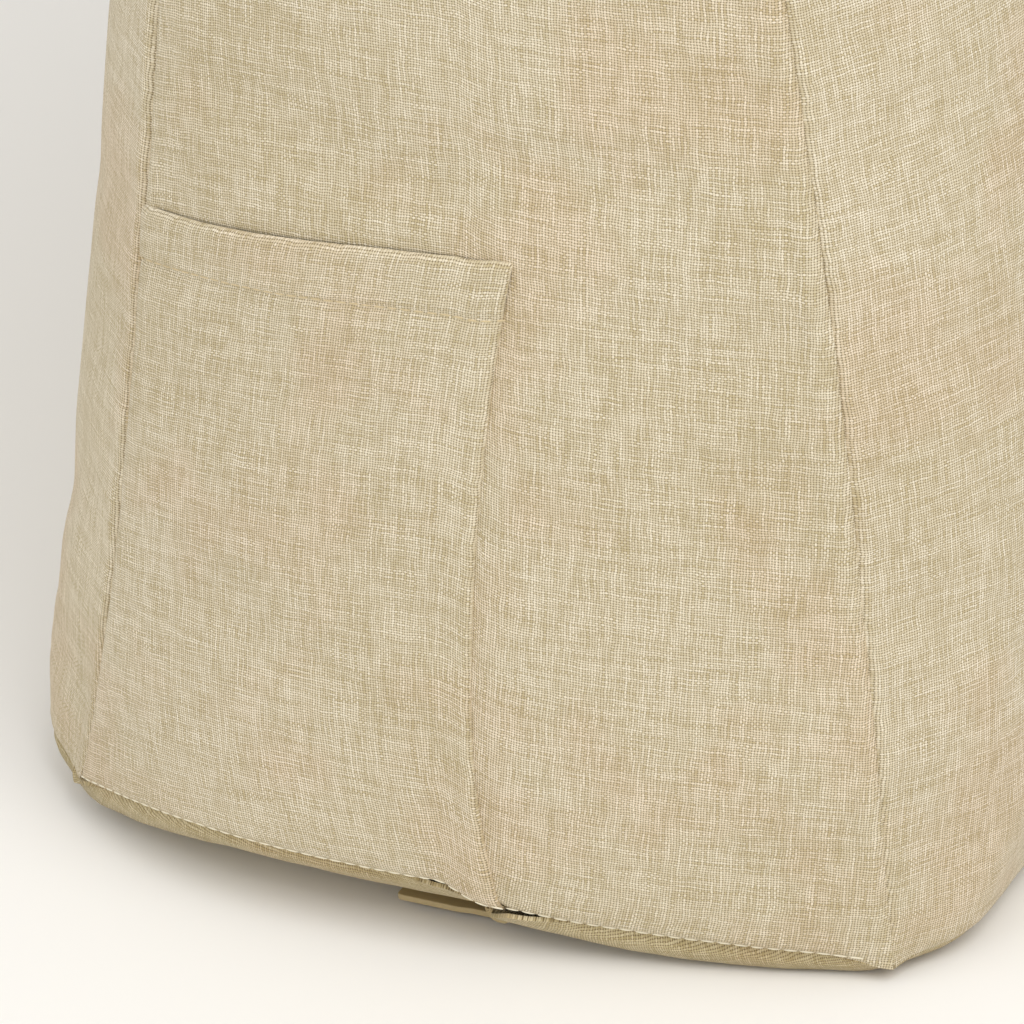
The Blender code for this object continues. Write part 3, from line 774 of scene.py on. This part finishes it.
    yarn = addNode(tree, "ShaderNodeMix", {
        0: found["tone"], 6: (*toLinear(linen["dark"]), 1), 7: (*toLinear(linen["light"]), 1),
    }, data_type="RGBA").outputs[2]
    yarn = addNode(tree, "ShaderNodeMix", {
        0: found["blushShare"], 6: yarn, 7: (*toLinear(linen["pink"]), 1),
    }, data_type="RGBA", blend_type="MULTIPLY").outputs[2]
    # low places between the yarns go towards the dark gap colour: painted shade in the weave's hollows
    colour = addNode(tree, "ShaderNodeMix", {
        0: found["shade"], 6: (*toLinear(linen["gap"]), 1), 7: yarn,
    }, data_type="RGBA").outputs[2]
    # the tint multiplies the colour: white on the cover, and on the base panels a deeper olive tone that is
    # painted shade
    colour = addNode(tree, "ShaderNodeMix", {
        0: 1.0, 6: colour, 7: (*toLinear(tint), 1),
    }, data_type="RGBA", blend_type="MULTIPLY").outputs[2]
    tree.links.new(colour, shader.inputs["Base Color"])
    bump = addNode(tree, "ShaderNodeBump", {
        "Strength": linen["bump"], "Distance": 0.0002, "Height": found["relief"],
    }).outputs[0]
    tree.links.new(bump, shader.inputs["Normal"])
    return material


def speckled(name, dark, light, scale, roughness, bump=0.0, sheen=0.0):
    material, tree, shader = newMaterial(name, roughness, sheen)
    place = addNode(tree, "ShaderNodeTexCoord").outputs["Object"]
    grain = addNode(tree, "ShaderNodeTexNoise", {"Vector": place, "Scale": scale, "Detail": 3.0}).outputs[0]
    colour = addNode(tree, "ShaderNodeMix", {
        0: grain, 6: (*toLinear(dark), 1), 7: (*toLinear(light), 1),
    }, data_type="RGBA").outputs[2]
    tree.links.new(colour, shader.inputs["Base Color"])
    if bump:
        relief = addNode(tree, "ShaderNodeBump", {"Strength": bump, "Distance": 0.0002, "Height": grain})
        tree.links.new(relief.outputs[0], shader.inputs["Normal"])
    return material


def ribbedTape():
    # Woven polyester zip tape: fine ribs along it, slightly glossier than the cover
    material, tree, shader = newMaterial("woven polyester zip tape", 0.7)
    place = addNode(tree, "ShaderNodeTexCoord").outputs["Object"]
    ribPitch = 0.0007
    ribs = addNode(tree, "ShaderNodeTexWave", {
        "Vector": place, "Scale": 1 / ribPitch / 6.283 * 2, "Distortion": 0.6, "Detail": 1.0,
    }, bands_direction="Y").outputs[1]
    cross = addNode(tree, "ShaderNodeTexNoise", {"Vector": place, "Scale": 900.0}).outputs[0]
    height = addNode(tree, "ShaderNodeMath", (ribs, cross), operation="ADD").outputs[0]
    colour = addNode(tree, "ShaderNodeMix", {
        0: ribs, 6: (*toLinear("#a48f63"), 1), 7: (*toLinear("#c2ad80"), 1),
    }, data_type="RGBA").outputs[2]
    tree.links.new(colour, shader.inputs["Base Color"])
    relief = addNode(tree, "ShaderNodeBump", {"Strength": 0.5, "Distance": 0.0001, "Height": height})
    tree.links.new(relief.outputs[0], shader.inputs["Normal"])
    return material


linenCloth = makeLinen("woven slub polyester linen look", "#ffffff")
# The same cloth under the cushion, a tone deeper and more olive: painted shade where the base turns away
# under the cushion
shadedBaseCloth = makeLinen("woven slub polyester base cloth with painted shade", "#e6e1cd")
# Spun polyester sewing thread, cream: paler and a little shinier than the cover
thread = speckled("spun polyester sewing thread", "#e6dcc0", "#f4edd8", 2500.0, 0.6)
hemThread = speckled("spun polyester hem thread", "#cdb98f", "#dccaa4", 2500.0, 0.6)
# Spunbonded non-woven polypropylene: white, matt, with a fine felted surface
linerCloth = speckled("spunbonded nonwoven liner", "#dcdad4", "#f2f1ed", 350.0, 0.92, bump=0.3)
# Siliconised hollow polyester fibre, loosely packed: bright white and fuzzy
fibre = speckled("hollow polyester fibre", "#e4e4e0", "#fafaf7", 120.0, 0.97, bump=0.8, sheen=0.3)
tapeCloth = ribbedTape()
# Nylon monofilament, dyed to match: smooth and slightly translucent looking
nylon = speckled("dyed nylon monofilament", "#b39e70", "#c6b287", 900.0, 0.38)
# Die-cast zinc with stoved enamel, dyed to match the cover: smooth with a soft gloss
enamel = speckled("stoved enamel on zinc", "#b5a176", "#bfab80", 300.0, 0.36, bump=0.05)
print("materials ready")


# Geometry Nodes: rows of stitches, and the zip's coils

def newTree(name, sizes):
    tree = bpy.data.node_groups.new(name, "GeometryNodeTree")
    face = tree.interface
    face.new_socket("Geometry", in_out="INPUT", socket_type="NodeSocketGeometry")
    for label, kind in sizes:
        face.new_socket(label, in_out="INPUT", socket_type=kind)
    face.new_socket("Geometry", in_out="OUTPUT", socket_type="NodeSocketGeometry")
    start = addNode(tree, "NodeGroupInput")
    return tree, start


def stitchTree():
    tree, start = newTree("stitch row", [
        ("Pitch", "NodeSocketFloat"), ("Stitch Length", "NodeSocketFloat"),
        ("Thread Width", "NodeSocketFloat"), ("Seed", "NodeSocketInt"),
        ("Thread", "NodeSocketMaterial"),
    ])
    given = {socket.name: socket for socket in start.outputs}
    line = addNode(tree, "GeometryNodeMeshToCurve", {"Mesh": given["Geometry"]})
    points = addNode(tree, "GeometryNodeResampleCurve", {
        "Curve": line.outputs[0], "Length": given["Pitch"],
    }, mode="LENGTH")
    bead = addNode(tree, "GeometryNodeMeshUVSphere", {"Segments": 8, "Rings": 6, "Radius": 0.5})
    tangent = addNode(tree, "GeometryNodeInputTangent")
    turn = addNode(tree, "FunctionNodeAlignRotationToVector", {"Vector": tangent.outputs[0]}, axis="Z")
    vary = addNode(tree, "FunctionNodeRandomValue", {
        2: 0.90, 3: 1.04, "Seed": given["Seed"],
    }, data_type="FLOAT")
    scaled = (given["Stitch Length"], vary.outputs[1])
    length = addNode(tree, "ShaderNodeMath", scaled, operation="MULTIPLY")
    size = addNode(tree, "ShaderNodeCombineXYZ", (
        given["Thread Width"], given["Thread Width"], length.outputs[0],
    ))
    placed = addNode(tree, "GeometryNodeInstanceOnPoints", {
        "Points": points.outputs[0], "Instance": bead.outputs[0],
        "Rotation": turn.outputs[0], "Scale": size.outputs[0],
    })
    real = addNode(tree, "GeometryNodeRealizeInstances", {"Geometry": placed.outputs[0]})
    smooth = addNode(tree, "GeometryNodeSetShadeSmooth", {"Geometry": real.outputs[0]})
    painted = addNode(tree, "GeometryNodeSetMaterial", {
        "Geometry": smooth.outputs[0], "Material": given["Thread"],
    })
    addNode(tree, "NodeGroupOutput", {0: painted.outputs[0]})
    return tree


def coilTree():
    tree, start = newTree("zip coil", [
        ("Length", "NodeSocketFloat"), ("Turns", "NodeSocketFloat"), ("Radius", "NodeSocketFloat"),
        ("Wire Radius", "NodeSocketFloat"), ("Nylon", "NodeSocketMaterial"),
    ])
    given = {socket.name: socket for socket in start.outputs}
    spiral = addNode(tree, "GeometryNodeCurveSpiral", {
        "Resolution": 9, "Rotations": given["Turns"], "Start Radius": given["Radius"],
        "End Radius": given["Radius"], "Height": given["Length"],
    })
    lying = addNode(tree, "GeometryNodeTransform", {
        "Geometry": spiral.outputs[0], "Rotation": (0.0, math.pi / 2, 0.0),
    })
    wire = addNode(tree, "GeometryNodeCurvePrimitiveCircle", {
        "Resolution": 5, "Radius": given["Wire Radius"],
    })
    swept = addNode(tree, "GeometryNodeCurveToMesh", {
        "Curve": lying.outputs[0], "Profile Curve": wire.outputs[0], "Fill Caps": True,
    })
    real = addNode(tree, "GeometryNodeRealizeInstances", {"Geometry": swept.outputs[0]})
    smooth = addNode(tree, "GeometryNodeSetShadeSmooth", {"Geometry": real.outputs[0]})
    painted = addNode(tree, "GeometryNodeSetMaterial", {
        "Geometry": smooth.outputs[0], "Material": given["Nylon"],
    })
    addNode(tree, "NodeGroupOutput", {0: painted.outputs[0]})
    return tree


def growPiece(name, tree, values, points=((0, 0, 0),), edges=()):
    # runs a tree on a small mesh and keeps the result as a plain mesh
    mesh = bpy.data.meshes.new(name + " guide")
    mesh.from_pydata([tuple(p) for p in points], list(edges), [])
    guide = newObject(name + "Guide", mesh)
    modifier = guide.modifiers.new("grow", "NODES")
    modifier.node_group = tree
    for socket in tree.interface.items_tree:
        if socket.in_out == "INPUT" and socket.name in values:
            modifier[socket.identifier] = values[socket.name]
    bpy.context.view_layer.update()
    graph = bpy.context.evaluated_depsgraph_get()
    made = bpy.data.meshes.new_from_object(guide.evaluated_get(graph))
    made.name = name
    bpy.data.objects.remove(guide, do_unlink=True)
    return newObject(name, made)


stitching = {
    "pitch": 0.0035,
    "length": 0.0031,
    "width": 0.00047,
}
hemStitching = {
    "pitch": 0.0030,
    "length": 0.0026,
    "width": 0.0004,
}
tapeStitching = {
    "pitch": 0.0032,
    "length": 0.0027,
    "width": 0.0005,
}
stitchRow = stitchTree()


def sewRow(name, lines, material, sizes, seed):
    points, edges = [], []
    for line in lines:
        start = len(points)
        points += (np.asarray(line) + middle).tolist()
        edges += [(start + i, start + i + 1) for i in range(len(line) - 1)]
    piece = growPiece(name, stitchRow, {
        "Pitch": sizes["pitch"], "Stitch Length": sizes["length"],
        "Thread Width": sizes["width"], "Seed": seed, "Thread": material,
    }, points, edges)
    settle(piece, "cushion", "linen_cover")


# The cushion's cloth

grids = makeGrids()
grids = puffOut(grids)
print("cushion shaped")

coverPanels = {
    "coverFrontPanel": ("front", "cover_front_panel"),
    "coverBackPanel": ("back", "cover_back_panel"),
    "coverEndPanelLeft": ("endLeft", "cover_end_panel_left"),
    "coverEndPanelRight": ("endRight", "cover_end_panel_right"),
    "coverBasePanelFront": ("baseFront", "cover_base_panel_front"),
    "coverBasePanelBack": ("baseBack", "cover_base_panel_back"),
}

pocket = {
    "mouthHigh": 0.1722,  # mouth's height at its front end
    "mouthDrop": 0.0089,  # how much lower it is 92 mm further back
    "mouthRun": 0.092,
    "edge": -0.0118,  # the sewn edge, and how it leans away above and below
    "edgeHigh": 0.0105,
    "edgeLow": 0.0048,
    "hem": 0.0135,
    "bend": 0.06,  # height where the edge starts to lean away
    "proud": 0.0012,  # the pocket's cloth over the end panel
    "edgeRise": 0.0006,  # distance over which it rises from its sewn edge
    "seamRise": 0.0012,  # and from the seams
    "slack": 0.0005,
    "hemLift": 0.0005,
    "hemPull": 0.0004,
    "foldPull": 0.0013,
    "stitchPull": 0.00030,
    "mouthWave": 0.00018,
    "edgeWave": 0.0004,
    "wall": 0.0007,
}


def pocketEdgeY(z):
    high = np.maximum((z - pocket["bend"]) / 0.112, 0) ** 2
    low = (np.maximum(pocket["bend"] - z, 0) / 0.045) ** 2
    return pocket["edge"] - pocket["edgeHigh"] * high - pocket["edgeLow"] * low


def pocketMouthZ(y):
    along = np.maximum(y - pocketEdgeY(pocket["mouthHigh"]), 0) / pocket["mouthRun"]
    return pocket["mouthHigh"] - pocket["mouthDrop"] * along**1.6


def endRowColumn(y, z):
    # fractional row and column of the end panels at a height below the shoulder
    shoulder = cushion["height"] - cushion["shoulderDrop"]
    front, back = sideY(-1, z), sideY(1, z)
    share = (y - front) / (back - front)
    flatY = columnY[0] + (columnY[-1] - columnY[0]) * share
    lift = baseSeamHeight(flatY)
    row = (z - lift) / (shoulder - lift) * straightRows
    return row, np.interp(flatY, columnY, np.arange(lastColumn + 1))


def addCover():
    made = {}
    for seed, (name, (key, node)) in enumerate(coverPanels.items()):
        flip = not outwards[key]
        deeper = (1, 2)  # borders with a deeper groove: left, right, bottom and top are 1 to 4
        if key.startswith("end"):
            deeper = (3,)
        if key.startswith("base"):
            deeper = ()
        folded = {"baseFront": (4,), "baseBack": (3,)}.get(key, ())
        fine = finePanel(grids[key], 3 * seed, flip, deeper, folded)
        sink = fine["sink"]
        if key.startswith("end"):
            row = fine["v"] - clothSettings["stitchLine"]
            sink = sink + clothSettings["stitchPull"] * np.exp(-((row / 0.0008) ** 2))
            # the seam allowance inside shows as a faint step
            for distance, number in ((fine["u"], 5), (fine["u"][:, -1:] - fine["u"], 6)):
                edge = clothSettings["allowanceWidth"] + 0.0004 * ripple(fine["v"], number, 0.05)
                fade = smoothStep(0.5 + 0.7 * ripple(fine["v"], number + 9, 0.11))
                inner = 1 - smoothStep((distance - edge) / 0.0012)
                sink = sink - clothSettings["allowance"] * fade * inner
        if key == "endLeft":
            # the end panel lies under the pocket
            y, z = fine["points"][..., 1], fine["points"][..., 2]
            inside = smoothStep((y - pocketEdgeY(z)) / 0.003)
            below = smoothStep((pocketMouthZ(y) + 0.001 - z) / 0.004)
            sink = sink + clothSettings["underPocket"] * inside * below
            # and is pulled in along the pocket's sewn edge
            toEdge = (y - pocketEdgeY(z)) / 0.0014
            pulled = np.exp(-(toEdge**2)) * smoothStep((pocketMouthZ(y) - z) / 0.003)
            sink = sink + clothSettings["pocketSeam"] * pulled
        outer = fine["points"] - fine["normal"] * sink[..., None]
        inner = outer - fine["normal"] * clothSettings["wall"]
        if key.startswith("base"):
            outer[..., 2] = np.maximum(outer[..., 2], 0.0)
            inner[..., 2] = np.maximum(inner[..., 2], outer[..., 2] + 0.0004)
        # base panels take the cloth with painted shade, a tone deeper than the rest
        cloth = shadedBaseCloth if key.startswith("base") else linenCloth
        piece = shellObject(name, outer, inner, fine["uv"], cloth)
        settle(piece, "cushion", "linen_cover", node)
        made[key] = fine
        print(" ", name, "ready")
    return made


def addPocket():
    across = np.linspace(0, 1, 46)
    across = np.concatenate([[0, 0.004, 0.009, 0.016], across[1:-1], [0.985, 0.993, 1.0]])
    up = np.concatenate([[0, 0.002, 0.005, 0.009, 0.014, 0.02], np.linspace(0.03, 0.90, 48)])
    up = np.concatenate([up, np.linspace(0.905, 0.985, 16), [0.990, 0.994, 0.997, 0.999, 1.0]])
    y = np.zeros((len(up), len(across)))
    z = np.zeros_like(y)
    for _ in range(4):
        mouth = pocketMouthZ(y)
        bottom = baseSeamHeight(y) + 0.0001
        z = bottom + (mouth - bottom) * up[:, None]
        edge, back = pocketEdgeY(z), sideY(1, z)
        y = edge + (back - edge) * across[None, :]
    row, column = endRowColumn(y, z)
    points = readGrid(grids["endLeft"], row, column)
    normal = surfaceNormals(points)
    if normal[30, 20, 0] > 0:
        normal = -normal
    u, v = alongLengths(points, 1), alongLengths(points, 0)
    fromEdge, fromBack = u, u[:, -1:] - u
    fromSeam, fromMouth = v, v[-1:] - v
    proud = pocket["proud"] * (1 - np.exp(-fromEdge / pocket["edgeRise"]))
    for distance in (fromBack, fromSeam):
        proud = proud * (1 - np.exp(-distance / pocket["seamRise"]))
    belly = np.sin(np.pi * np.clip(u / u[:, -1:], 0, 1)) ** 0.6
    proud = proud + pocket["slack"] * belly * smoothStep((v - 0.06) / 0.10)
    # folded hem: double cloth above its stitches, which pull it in
    proud = proud + pocket["hemLift"] * smoothStep((pocket["hem"] - fromMouth) / 0.0015)
    proud = proud - pocket["hemPull"] * np.exp(-(((fromMouth - pocket["hem"]) / 0.0011) ** 2))
    proud = proud - pocket["foldPull"] * np.exp(-((fromMouth / 0.0007) ** 1.4))
    for distance in (fromBack, fromSeam):
        groove = np.exp(-((distance / clothSettings["grooveWidth"]) ** 1.5))
        proud = proud - clothSettings["grooveDepth"] * groove
    toStitches = (fromSeam - clothSettings["stitchLine"]) / 0.0008
    proud = proud - pocket["stitchPull"] * np.exp(-(toStitches**2))
    proud = proud + pocket["mouthWave"] * ripple(u, 4, 0.045) * np.exp(-fromMouth / 0.02) * belly
    nearEdge = np.exp(-fromEdge / 0.018) * (1 - np.exp(-fromEdge / 0.004))
    proud = proud + pocket["edgeWave"] * ripple(v + 0.3 * u, 2, 0.05) * nearEdge
    outer = points + normal * proud[..., None]
    inner = outer - normal * pocket["wall"]
    flatV = np.repeat(v[:, [20]], v.shape[1], axis=1)
    uv = np.stack([u + 0.51, flatV + 0.37], -1)
    piece = shellObject("pocketPanel", outer, inner, uv, linenCloth)
    settle(piece, "cushion", "linen_cover", "pocket_panel")
    return {"outer": outer, "normal": normal, "u": u, "v": v, "fromMouth": fromMouth}


coverFine = addCover()
pocketFine = addPocket()
print("cover and pocket sewn")


# Stitches

def lineOn(fine, distance, lift):
    # line on a fine panel at a distance over its lower seam
    outer = fine["points"] - fine["normal"] * fine["sink"][..., None]
    line = []
    for column in range(outer.shape[1]):
        v = fine["v"][:, column]
        line.append([np.interp(distance, v, outer[:, column, axis]) for axis in range(3)])
    normal = fine["normal"][4]
    return np.array(line) + normal * lift


def addStitches():
    offset = clothSettings["stitchLine"]
    sunk, endsAt = -0.00008, 0.094  # the rows stop short of the corners
    left = lineOn(coverFine["endLeft"], offset, sunk)
    onPocket = pocketFine["v"][:, 20]
    row = int(np.argmin(np.abs(onPocket - offset)))
    over = pocketFine["outer"][row] + pocketFine["normal"][row] * 0.00022
    edgeY = pocketEdgeY(0.016)
    plain = left[(left[:, 1] > -endsAt) & (left[:, 1] < edgeY - 0.0005)]
    sewRow("baseTopstitchLeft", [plain, over[1:-2]], thread, stitching, 3)
    right = lineOn(coverFine["endRight"], offset, sunk)
    keep = np.abs(right[:, 1]) < endsAt
    sewRow("baseTopstitchRight", [right[keep]], thread, stitching, 5)
    hem = int(np.argmin(np.abs(pocketFine["fromMouth"][:, 20] - pocket["hem"])))
    hemLine = pocketFine["outer"][hem] + pocketFine["normal"][hem] * 0.0001
    sewRow("pocketHemStitch", [hemLine[1:-1]], hemThread, hemStitching, 7)
    rows = []
    for key, column in (("baseFront", -1), ("baseBack", 0)):
        grid = grids[key]
        toSeam = 0.0045 * (-1 if key == "baseFront" else 1)
        line = grid[column].copy()
        line[:, 1] += toSeam
        reachIn = np.abs(line[:, 0]) < 0.300
        line = line[reachIn]
        z = np.interp(line[:, 0], grid[column, :, 0], grid[column, :, 2])
        line[:, 2] = z - 0.0009
        rows.append(line)
    sewRow("zipTapeStitches", rows, hemThread, tapeStitching, 9)


addStitches()
print("stitches sewn")


# Liner and fibre fill, inside the cover

lining = {
    "outside": 0.0034,  # depths under the cover's outer face
    "inside": 0.0040,
    "fill": 0.0048,
    "zipRoom": 0.0042,  # how much higher all of it lies over the zip
    "lumps": 24,
    "lumpSize": (0.03, 0.09),
    "lumpDepth": 0.0010,
}

linerPanels = {
    "linerFront": ("front", "liner_front"),
    "linerBack": ("back", "liner_back"),
    "linerEndLeft": ("endLeft", "liner_end_left"),
    "linerEndRight": ("endRight", "liner_end_right"),
}


def addInside():
    points, faces, index = weldGrids(grids, outwards)
    mesh = meshFrom("shrink", points, faces)
    normals = np.empty(len(points) * 3, np.float32)
    mesh.vertices.foreach_get("normal", normals)
    bpy.data.meshes.remove(mesh)
    normals = normals.reshape(-1, 3)
    zipShare = np.exp(-(((points[:, 1] - zipY) / 0.016) ** 4)) * (points[:, 2] < 0.02)

    def shrunk(depth):
        moved = points - normals * depth
        lift = depth + zipShare * lining["zipRoom"]
        moved[:, 2] = np.maximum(moved[:, 2], points[:, 2] * (points[:, 2] < 0.02) + lift)
        return moved

    outer, inner, fill = shrunk(lining["outside"]), shrunk(lining["inside"]), shrunk(lining["fill"])
    base = np.concatenate([index["baseFront"], index["zipStrip"][1:], index["baseBack"][1:]])
    parts = {name: (index[key], node) for name, (key, node) in linerPanels.items()}
    parts["linerBase"] = (base, "liner_base")
    for name, (number, node) in parts.items():
        shell = outer[number]
        uv = np.stack([alongLengths(shell, 1), alongLengths(shell, 0)], -1)
        piece = shellObject(name, shell, inner[number], uv, linerCloth)
        settle(piece, "cushion", "liner", node)
    rng = np.random.default_rng(11)
    lump = np.zeros(len(fill))
    for _ in range(lining["lumps"]):
        wave = rng.normal(size=3)
        wave *= 2 * math.pi / rng.uniform(*lining["lumpSize"]) / np.linalg.norm(wave)
        lump += np.sin(fill @ wave + rng.uniform(0, 6.28))
    fill = fill - normals * (lining["lumpDepth"] * (1 + np.clip(lump / 6, -1, 1)))[:, None]
    mesh = meshFrom("fibreFill", fill + middle, faces)
    mesh.materials.append(fibre)
    mesh.shade_smooth()
    piece = newObject("fibreFill", mesh)
    settle(piece, "cushion", "fibre", "fibre_fill")


addInside()
print("liner and fill in place")


# Zip

zipParts = {
    "coilPitch": 0.00135,
    "wire": 0.00028,
    "tapeWall": 0.0006,
    "tapeCut": 0.0105,  # the tape's width with the edge that wraps the coil
}


def addTapes():
    for name, node in (("zipTapeFront", "zip_tape_front"), ("zipTapeBack", "zip_tape_back")):
        low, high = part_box(node)
        xs = np.linspace(low.x, high.x, 240)
        ys = np.linspace(low.y, high.y, 9)
        z = high.z + 0.00006 * ripple(xs[None, :] + 3 * ys[:, None], 2, 0.016)
        outer = np.stack(np.broadcast_arrays(xs[None, :], ys[:, None], z), -1)
        inner = outer.copy()
        inner[..., 2] -= zipParts["tapeWall"]
        uv = outer[..., :2]
        piece = shellObject(name, outer - middle, inner - middle, uv, tapeCloth)
        settle(piece, "cushion", "zip_tape", node)


def addCoils():
    tree = coilTree()
    for name, node in (("zipCoilFront", "zip_coil_front"), ("zipCoilBack", "zip_coil_back")):
        low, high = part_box(node)
        length = high.x - low.x - 2 * zipParts["wire"]
        radius = (high.z - low.z) / 2 - zipParts["wire"]
        piece = growPiece(name, tree, {
            "Length": length, "Turns": length / zipParts["coilPitch"], "Radius": radius,
            "Wire Radius": zipParts["wire"], "Nylon": nylon,
        })
        start = Vector((low.x + zipParts["wire"], (low.y + high.y) / 2, (low.z + high.z) / 2))
        piece.data.transform(Matrix.Translation(start))
        settle(piece, "cushion", "zip_coil", node)


addTapes()
addCoils()
print("zip tapes and coils ready")


# Slider and pull

metalwork = {
    "sliderLength": 0.0085,
    "sliderHalf": 0.0042,
    "plate": 0.0012,
    "nose": 0.0016,  # corner radius of the plates
    "postWidth": 0.0031,  # half width of the loop's rounded ends
    "postWall": 0.0010,
    "wedge": (0.0034, 0.0004, 0.0005),  # far and near ends from the back edge, and half width
    "flange": 0.0007,  # wall of the two side flanges
    "outerLow": 0.0017,  # the outer plate's underside, over the pull's axis
    "bar": 0.0005,
    "eye": 0.0008,
    "ring": 0.0014,
    "ringWidth": 0.0054,
    "tabLength": 0.026,
    "tabHalf": 0.0030,
    "tabWall": 0.0014,
    "tabCorner": 0.0012,
    "bevel": 0.00022,
}


def roundedOutline(halfX, halfY, radius, steps=6):
    outline = []
    for cornerX, cornerY, first in ((1, 1, 0), (-1, 1, 90), (-1, -1, 180), (1, -1, 270)):
        for step in range(steps + 1):
            turn = math.radians(first + 90 * step / steps)
            outline.append((
                cornerX * (halfX - radius) + radius * math.cos(turn),
                cornerY * (halfY - radius) + radius * math.sin(turn),
            ))
    return outline


def addPrism(build, outline, low, high, turn=None):
    # a closed prism over a flat outline, from low to high
    turn = turn or Matrix.Identity(4)
    bottom = [build.verts.new(turn @ Vector((x, y, low))) for x, y in outline]
    top = [build.verts.new(turn @ Vector((x, y, high))) for x, y in outline]
    build.faces.new(bottom[::-1])
    build.faces.new(top)
    for i in range(len(outline)):
        j = (i + 1) % len(outline)
        build.faces.new((bottom[i], bottom[j], top[j], top[i]))


def addTube(build, outer, inner, length, count=28):
    # a ring round X, with its hole
    rings = []
    for x, radius in ((-1, inner), (-1, outer), (1, outer), (1, inner)):
        ring = []
        for step in range(count):
            turn = 2 * math.pi * step / count
            ring.append(build.verts.new((x * length / 2, radius * math.cos(turn), radius * math.sin(turn))))
        rings.append(ring)
    for a, b in zip(rings, rings[1:] + rings[:1]):
        for i in range(count):
            j = (i + 1) % count
            build.faces.new((a[i], a[j], b[j], b[i]))


def finishMetal(name, build, place, body, node):
    bmesh.ops.recalc_face_normals(build, faces=build.faces)
    mesh = bpy.data.meshes.new(name)
    build.to_mesh(mesh)
    build.free()
    mesh.transform(Matrix.Translation(place))
    mesh.materials.append(enamel)
    mesh.shade_smooth()
    mesh.set_sharp_from_angle(angle=math.radians(35))
    piece = newObject(name, mesh)
    bevel = piece.modifiers.new("worn edges", "BEVEL")
    bevel.width = metalwork["bevel"]
    bevel.segments = 2
    bevel.limit_method = "ANGLE"
    bevel.angle_limit = math.radians(40)
    settle(piece, body, "zip_metal", node)


def addMetalwork():
    sizes = metalwork
    low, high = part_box("zip_slider")
    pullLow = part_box("zip_pull")[0]
    place = Vector(((low.x + high.x) / 2, pullLow.y + sizes["ring"], pullLow.z + sizes["ring"]))
    half = sizes["sliderLength"] / 2
    outerLow = sizes["outerLow"]
    top = high.z - place.z
    build = bmesh.new()
    plate = roundedOutline(half, sizes["sliderHalf"], sizes["nose"])
    addPrism(build, plate, outerLow, outerLow + sizes["plate"])
    addPrism(build, plate, top - sizes["plate"], top)
    far, near, wide = sizes["wedge"]
    wedge = [(-half + x, y) for x, y in ((far, -wide), (far, wide), (near, wide), (near, -wide))]
    addPrism(build, wedge, outerLow + 0.0006, top - 0.0006)
    alongX = Matrix(((0, 0, 1, 0), (1, 0, 0, 0), (0, 1, 0, 0), (0, 0, 0, 1)))
    for side in (-1, 1):
        flange = sizes["sliderHalf"] - 0.0001
        y0, y1 = sorted((side * flange, side * (flange - sizes["flange"])))
        x = half - 0.0011
        addPrism(build, [(x, y0), (x, y1), (-x, y1), (-x, y0)], outerLow + 0.0006, outerLow + 0.0035)
        # the loop's rounded ends, across the slider
        radius = sizes["postWidth"]
        arc = [math.radians(180 + 15 * step) for step in range(13)]
        outline = [(radius * math.cos(t), outerLow + 0.0002 + 0.75 * radius * math.sin(t)) for t in arc]
        outline += [(radius, outerLow + 0.0006), (-radius, outerLow + 0.0006)]
        x0, x1 = sorted((side * (half - 0.0001), side * (half - 0.0001 - sizes["postWall"])))
        addPrism(build, outline, x0, x1, alongX)
    turns = [step / 6 * math.pi for step in range(12)]
    bar = [(sizes["bar"] * math.cos(turn), sizes["bar"] * math.sin(turn)) for turn in turns]
    addPrism(build, bar, -half + 0.0006, half - 0.0006, alongX)
    finishMetal("zipSlider", build, place, "slider", "zip_slider")

    build = bmesh.new()
    addTube(build, sizes["ring"], sizes["eye"], sizes["ringWidth"])
    wall, tip = sizes["tabWall"] / 2, sizes["tabLength"]
    neck = sizes["ringWidth"] / 2 - 0.0002
    outline = [(-neck, 0.0011), (neck, 0.0011), (neck, 0.30 * tip), (sizes["tabHalf"], 0.42 * tip)]
    corner = sizes["tabCorner"]
    for side in (1, -1):
        for step in range(7):
            turn = math.radians(15 * step if side > 0 else 90 + 15 * step)
            outline.append((
                side * (sizes["tabHalf"] - corner) + corner * math.cos(turn),
                tip - corner + corner * math.sin(turn),
            ))
    outline.append((-sizes["tabHalf"], 0.42 * tip))
    outline.append((-neck, 0.30 * tip))
    addPrism(build, outline, -wall, wall)
    finishMetal("zipPull", build, place, "pull", "zip_pull")


addMetalwork()
